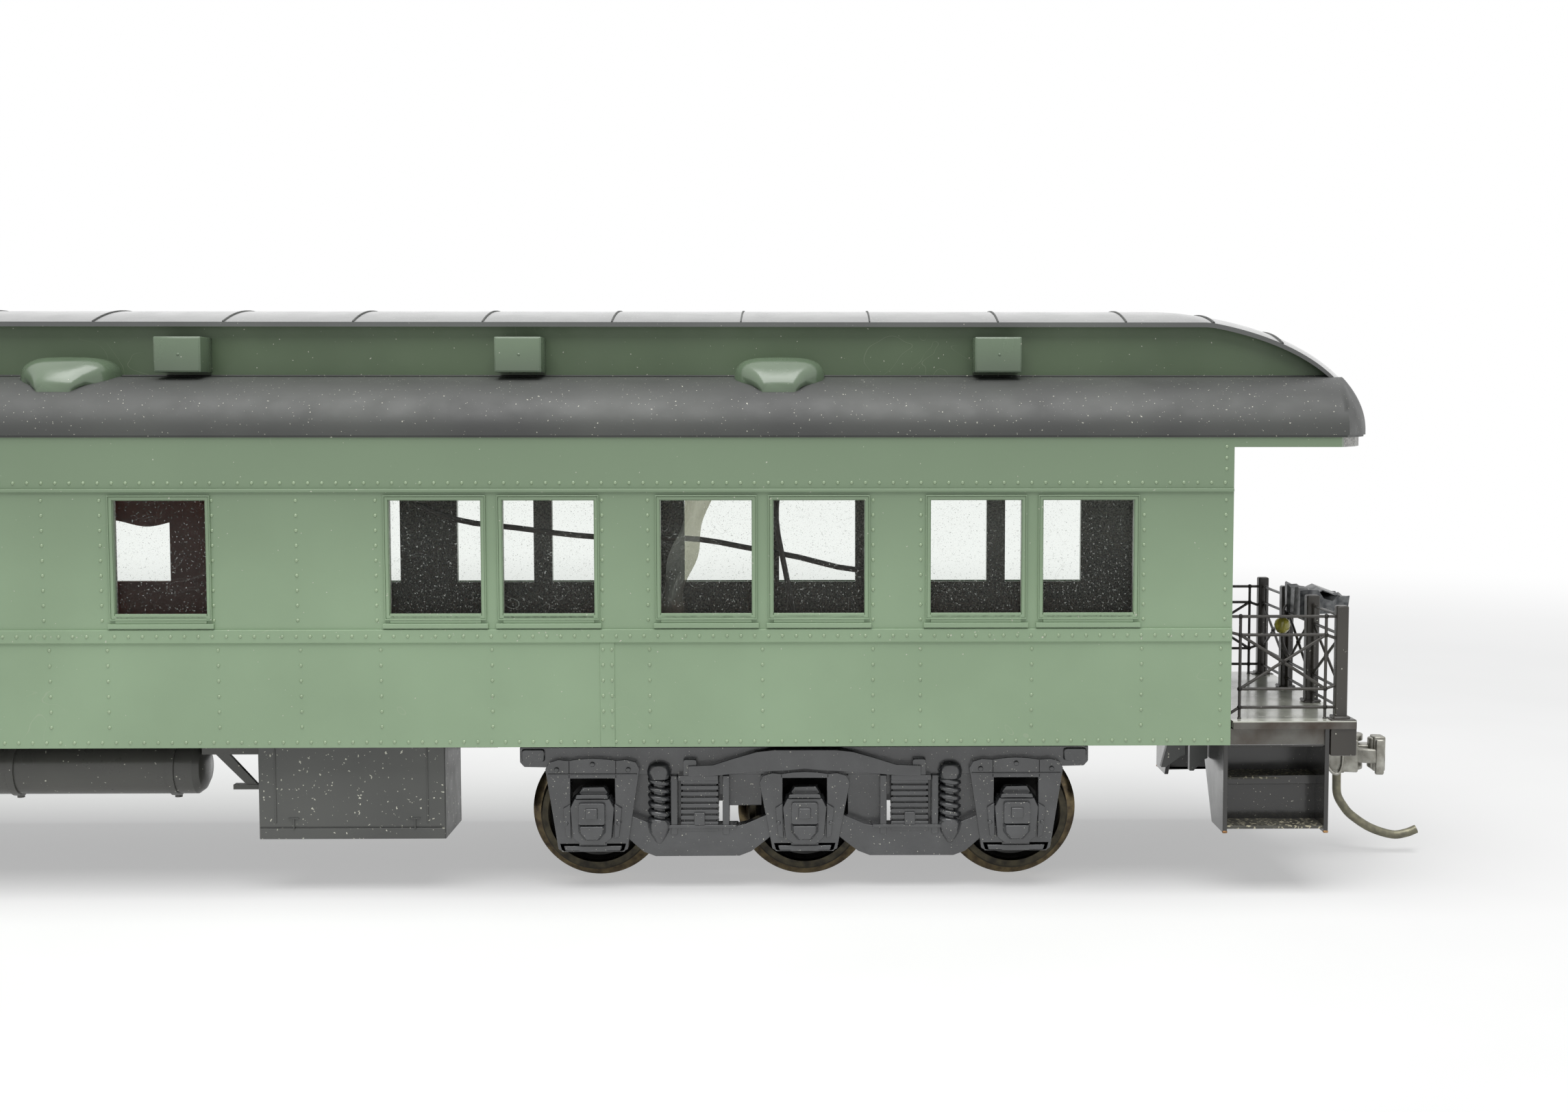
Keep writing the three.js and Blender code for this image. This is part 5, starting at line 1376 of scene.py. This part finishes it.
lamp_low, lamp_high = node_box("tail_lamp")
lamp_at = (lamp_low + lamp_high) / 2
bm = bmesh.new()
turned(bm, [(0, -0.75), (0.45, -0.65), (0.72, -0.3), (0.82, 0.15), (0.7, 0.55), (0.42, 0.82),
            (0, 0.92)], (0, 0, 1), lamp_at, 20)
piece_from(bm, "lamp_bulb", [bulb_glass], "coach", ("tail_lamp",), sharp=60)
bm = bmesh.new()
for s in (-1, 1):
    leg = smooth_path([(lamp_at.x, lamp_at.y + 0.25 * s, lamp_at.z - 0.6),
                       (lamp_at.x + 0.1, lamp_at.y + 0.35 * s, lamp_at.z - 1.8),
                       (lamp_at.x + 0.7, lamp_at.y + 0.7 * s, lamp_at.z - 3.2)], 5)
    wire(bm, leg, 0.1, 6)
hook = smooth_path([(lamp_at.x, lamp_at.y, lamp_at.z + 0.8), (lamp_at.x + 0.3, lamp_at.y + 0.3,
                    lamp_at.z + 1.9), (POST_X, lamp_at.y + 0.4, RAIL_Z[0])], 5)
wire(bm, hook, 0.1, 6)
piece_from(bm, "lamp_wires", [rail_enamel], "coach")
print("sign and lamp placed")

# %% [markdown]
# ## Couplers
# The coupler head is a small zinc casting: a shank, a head block with a guard arm, and the knuckle
# that swings on its pin. A fine spring and a bent wire sit beside the head, and the trip pin
# curves down and forward under it. Front and rear are the same pieces, turned half round.

# %% Coupler head, knuckle and trip pin
def about_end(bm, end):
    """Turns a shape drawn at the rear end half round for the front end."""
    if end < 0:
        bmesh.ops.rotate(bm, verts=bm.verts, cent=(0, 0, 0), matrix=Matrix.Rotation(math.pi, 3, "Z"))


def lying(bm, outline, z0, z1, finish=0):
    """A plate cut to an outline in X and Y, from one height to another."""
    low = [bm.verts.new((x, y, z0)) for x, y in outline]
    high = [bm.verts.new((x, y, z1)) for x, y in outline]
    bm.faces.new(low[::-1]).material_index = finish
    bm.faces.new(high).material_index = finish
    for i in range(len(outline)):
        j = (i + 1) % len(outline)
        bm.faces.new((low[i], low[j], high[j], high[i])).material_index = finish


knee = 148.4 - 143.5 + node_box("rear_coupler_box")[1].x - 1.0
ORIGIN_SHIFT = -middle / MM
for end_name, end in (("rear", 1), ("front", -1)):
    # The row's zero is the middle of both couplers, so a half turn about it carries one to the other.
    k = knee - ORIGIN_SHIFT
    bm = bmesh.new()
    s0 = k - 12.2
    lying(bm, [(s0, -0.8), (k - 2.6, -0.8), (k - 2.6, 0.8), (s0, 0.8)], 9.35, 11.05)
    turned(bm, [(0, 9.36), (1.9, 9.36), (1.9, 11.04), (0, 11.04)], (0, 0, 1), (s0, 0, 0), 24)
    lying(bm, [(k - 3.3, -1.5), (k - 1.5, -1.95), (k - 0.3, -2.3), (k - 0.3, -0.9), (k - 0.9, 0.2),
               (k - 0.9, 2.2), (k - 2.3, 2.3), (k - 3.3, 1.5)], 8.6, 11.85)
    lying(bm, [(k - 1.2, -1.9), (k + 0.4, -2.6), (k + 1.5, -2.95), (k + 1.6, -2.5), (k + 0.6, -1.9),
               (k - 0.3, -1.0)], 9.6, 11.0)
    lying(bm, [(k + 1.2, -2.9), (k + 2.0, -3.1), (k + 2.15, -2.7), (k + 1.3, -2.35)], 8.5, 12.0)
    lying(bm, [(k - 2.4, -1.2), (k - 1.4, -1.5), (k - 1.4, 1.5), (k - 2.4, 1.4)], 8.4, 12.05)
    for z0, z1 in ((8.4, 9.1), (11.3, 12.05)):
        turned(bm, [(0, z0), (1.05, z0), (1.05, z1), (0, z1)], (0, 0, 1), (k, 1.15, 0), 20)
        lying(bm, [(k - 1.2, 0.15), (k, 0.15), (k, 2.15), (k - 1.2, 2.15)], z0, z1)
    turned(bm, [(0, 8.3), (0.33, 8.3), (0.33, 12.1), (0, 12.1)], (0, 0, 1), (k, 1.15, 0), 12)
    about_end(bm, end)
    for v in bm.verts:
        v.co.x += ORIGIN_SHIFT
    piece_from(bm, f"{end_name}_coupler_casting", [zinc_casting], f"{end_name}_coupler",
               (f"{end_name}_coupler_head",), bevel=0.16)
    bm = bmesh.new()
    turned(bm, [(0, 9.35), (0.95, 9.35), (0.95, 11.05), (0, 11.05)], (0, 0, 1), (k, 1.15, 0), 20)
    lying(bm, [(k, 0.25), (k + 1.8, 0.0), (k + 2.1, -1.0), (k + 2.3, -1.5), (k + 2.75, -1.1),
               (k + 2.75, 0.7), (k + 1.9, 1.8), (k + 0.4, 2.15)], 9.4, 11.0)
    lying(bm, [(k + 1.55, -1.0), (k + 2.75, -1.15), (k + 2.78, 0.5), (k + 1.65, 0.8)], 8.5, 12.0)
    lying(bm, [(k + 1.3, -0.6), (k + 1.8, -0.8), (k + 1.8, 0.6), (k + 1.3, 0.5)], 8.7, 11.8)
    about_end(bm, end)
    for v in bm.verts:
        v.co.x += ORIGIN_SHIFT
    piece_from(bm, f"{end_name}_knuckle_casting", [zinc_casting], f"{end_name}_knuckle",
               (f"{end_name}_knuckle",), bevel=0.17)
    bm = bmesh.new()
    pin = smooth_path([(k - 1.7, 0.4, 8.5), (k - 1.7, 0.4, 7.4), (k - 1.6, 0.4, 5.9),
                       (k - 0.95, 0.4, 4.7), (k - 0.1, 0.4, 3.75), (k + 1.8, 0.4, 2.5),
                       (k + 4.0, 0.4, 1.8), (k + 5.4, 0.4, 1.95), (k + 6.45, 0.4, 2.35)], 6)
    wire(bm, pin, 0.43, 16)
    about_end(bm, end)
    for v in bm.verts:
        v.co.x += ORIGIN_SHIFT
    piece_from(bm, f"{end_name}_trip_wire", [pin_steel], f"{end_name}_coupler",
               (f"{end_name}_trip_pin",), sharp=50)
    bm = bmesh.new()
    loop = smooth_path([(k - 4.0, -2.0, 11.2), (k - 3.5, -2.1, 9.6), (k - 2.9, -2.2, 8.7),
                        (k - 2.3, -2.2, 8.5), (k - 1.9, -2.15, 9.3), (k - 1.8, -2.1, 10.8)], 6)
    wire(bm, loop, 0.16, 8)
    about_end(bm, end)
    for v in bm.verts:
        v.co.x += ORIGIN_SHIFT
    piece_from(bm, f"{end_name}_coupler_wire", [zinc_casting], f"{end_name}_coupler",
               sharp=50)
    spot = (k - 3.9, -1.6, 8.9)
    place = (spot[0] * end + ORIGIN_SHIFT, spot[1] * end, spot[2])
    mesh = grow(f"{end_name}_knuckle_spring", [place], coils, tyre_face, Turns=8.0,
                Coil_radius=0.55 * MM, Coil_height=2.4 * MM, Wire_radius=0.11 * MM)
    settle(f"{end_name}_knuckle_spring", mesh, [tyre_face], f"{end_name}_coupler",
           in_frame=True)
print("couplers: 2, knee at", round(knee, 2))

# %% [markdown]
# ## Inside the coach
# Little shows through the windows, but what does is part of the look: a red-brown liner on the
# far wall, cut out at a window, the thin lighting lead, and a strip of clear film that has
# curled up behind a window pair.

# %% Liner and curled film
bm = bmesh.new()
LINER_Y, LINER_X, LOOK_X, LOOK_Z = 15.5, (16.2, 34.0), (17.35, 25.6), (26.3, 32.5)
for (x0, x1), (z0, z1) in (((LINER_X[0], LOOK_X[0]), (18.0, 41.0)), (LOOK_X, (18.0, LOOK_Z[0])),
                           ((LOOK_X[1], LINER_X[1]), (18.0, 41.0))):
    block(bm, (x0, LINER_Y, z0), (x1, LINER_Y + 0.3, z1))
edge = [(LOOK_X[0] + (LOOK_X[1] - LOOK_X[0]) * i / 12, LOOK_Z[1] + 0.35 * math.sin(i * 0.55))
        for i in range(13)]
plate(bm, [(LOOK_X[0], 41.0)] + edge + [(LOOK_X[1], 41.0)], LINER_Y, LINER_Y + 0.3)
piece_from(bm, "far_wall_liner", [brown_liner], "coach")

bm = bmesh.new()
spine = smooth_path([(80.2, -9.5, 24.6), (81.0, -10.2, 28.0), (82.3, -10.0, 32.5),
                     (83.6, -9.2, 37.5)], 8)
rings = []
for i, point in enumerate(spine):
    curl = 0.5 + 0.9 * math.sin(i * 0.35)
    wide = 1.15 + 0.25 * math.sin(i * 0.6)
    ring = []
    for t in [j / 8 for j in range(9)]:
        bend = curl * math.sin(math.pi * t)
        ring.append((point.x + wide * (t * 2 - 1), point.y - bend, point.z))
    rings.append([bm.verts.new(p) for p in ring] +
                 [bm.verts.new((x, y + 0.08, z)) for x, y, z in reversed(ring)])
for a, b in zip(rings, rings[1:]):
    for k in range(18):
        m = (k + 1) % 18
        bm.faces.new((a[k], a[m], b[m], b[k]))
bm.faces.new(rings[0][::-1])
bm.faces.new(rings[-1])
piece_from(bm, "curled_film_strip", [curled_film], "coach", sharp=60)
print("inside pieces: 2")

# %% [markdown]
# ## Floor, light and camera
# The coach stands on a pale floor in front of white, under one wide soft lamp from above. The
# floor is a plain near-white sheet, so light comes back up from it. Seen by the camera, or in a
# gloss or clear sheet, the floor is lifted towards white with distance, and the backdrop is
# white. As a light the backdrop is far weaker, so that paint renders about as it is written.

# %% Floor and backdrop
floor_finish, tree = new_material("pale_studio_floor")
coords = add(tree, "ShaderNodeTexCoord").outputs["Object"]
cloud = speckle(tree, coords, 30.0, 0.3, 0.7, 2.0)
pale = add(tree, "ShaderNodeBsdfDiffuse", Color=blend_colours(tree, cloud, "#f3f3f2", "#f8f8f7"))
away = add(tree, "ShaderNodeVectorMath", {"operation": "LENGTH"}, i0=coords)
lift = add(tree, "ShaderNodeMapRange", {"interpolation_type": "SMOOTHSTEP"},
           Value=away.outputs["Value"], From_Min=0.16, From_Max=0.45, To_Min=0.42)
path = add(tree, "ShaderNodeLightPath").outputs
looked_at = add(tree, "ShaderNodeMath", {"operation": "MAXIMUM"}, i0=path["Is Camera Ray"],
                i1=path["Is Glossy Ray"])
looked_at = add(tree, "ShaderNodeMath", {"operation": "MAXIMUM"}, i0=looked_at.outputs[0],
                i1=path["Is Transmission Ray"])
share = add(tree, "ShaderNodeMath", {"operation": "MULTIPLY"}, i0=looked_at.outputs[0],
            i1=lift.outputs[0])
glow = add(tree, "ShaderNodeEmission", Color=(1, 1, 1, 1), Strength=1.0)
both = add(tree, "ShaderNodeMixShader", i0=share.outputs[0], i1=pale.outputs[0],
           i2=glow.outputs[0])
add(tree, "ShaderNodeOutputMaterial", Surface=both.outputs[0])
bm = bmesh.new()
FLOOR = 3000.0
corners = [bm.verts.new((x, y, -0.02)) for x, y in ((-FLOOR, -FLOOR), (FLOOR, -FLOOR),
                                                   (FLOOR, FLOOR), (-FLOOR, FLOOR))]
bm.faces.new(corners)
mesh = bpy.data.meshes.new("floor")
bm.to_mesh(mesh)
bm.free()
mesh.transform(Matrix.Scale(MM, 4))
mesh.materials.append(floor_finish)
floor = bpy.data.objects.new("floor", mesh)
bpy.context.scene.collection.objects.link(floor)

world = bpy.data.worlds.new("studio")
bpy.context.scene.world = world
world.use_nodes = True
tree = world.node_tree
tree.nodes.clear()
path = add(tree, "ShaderNodeLightPath").outputs
seen = add(tree, "ShaderNodeMath", {"operation": "MAXIMUM"}, i0=path["Is Camera Ray"],
           i1=path["Is Glossy Ray"])
seen = add(tree, "ShaderNodeMath", {"operation": "MAXIMUM"}, i0=seen.outputs[0],
           i1=path["Is Transmission Ray"])
lit = add(tree, "ShaderNodeBackground", Color=linear("#fafcff"), Strength=0.24)
white = add(tree, "ShaderNodeBackground", Color=(1, 1, 1, 1), Strength=1.0)
both = add(tree, "ShaderNodeMixShader", i0=seen.outputs[0], i1=lit.outputs[0], i2=white.outputs[0])
add(tree, "ShaderNodeOutputWorld", Surface=both.outputs[0])


def soft_lamp(name, place, aim, size, power):
    lamp = bpy.data.lights.new(name, "AREA")
    lamp.shape, lamp.size, lamp.energy = "SQUARE", size, power
    holder = bpy.data.objects.new(name, lamp)
    holder.location = place
    holder.rotation_euler = (Vector(aim) - Vector(place)).to_track_quat("-Z", "Y").to_euler()
    bpy.context.scene.collection.objects.link(holder)


soft_lamp("overhead_softbox", (0.06, -0.14, 0.4), (0.06, -0.05, 0.0), 0.4, 2.0)
print("floor and lamps ready")

# %% Camera
lens = bpy.data.cameras.new("camera")
lens.sensor_width, lens.lens, lens.clip_start = 36.0, 44.67, 0.01
lens.shift_x = -0.0352
camera = bpy.data.objects.new("camera", lens)
camera.location = (0.08804, -0.1924, 0.0442)
camera.rotation_euler = (math.radians(85.8), 0.0, math.radians(-0.95))
bpy.context.scene.collection.objects.link(camera)
bpy.context.scene.camera = camera
bpy.context.scene.view_settings.view_transform = "Standard"
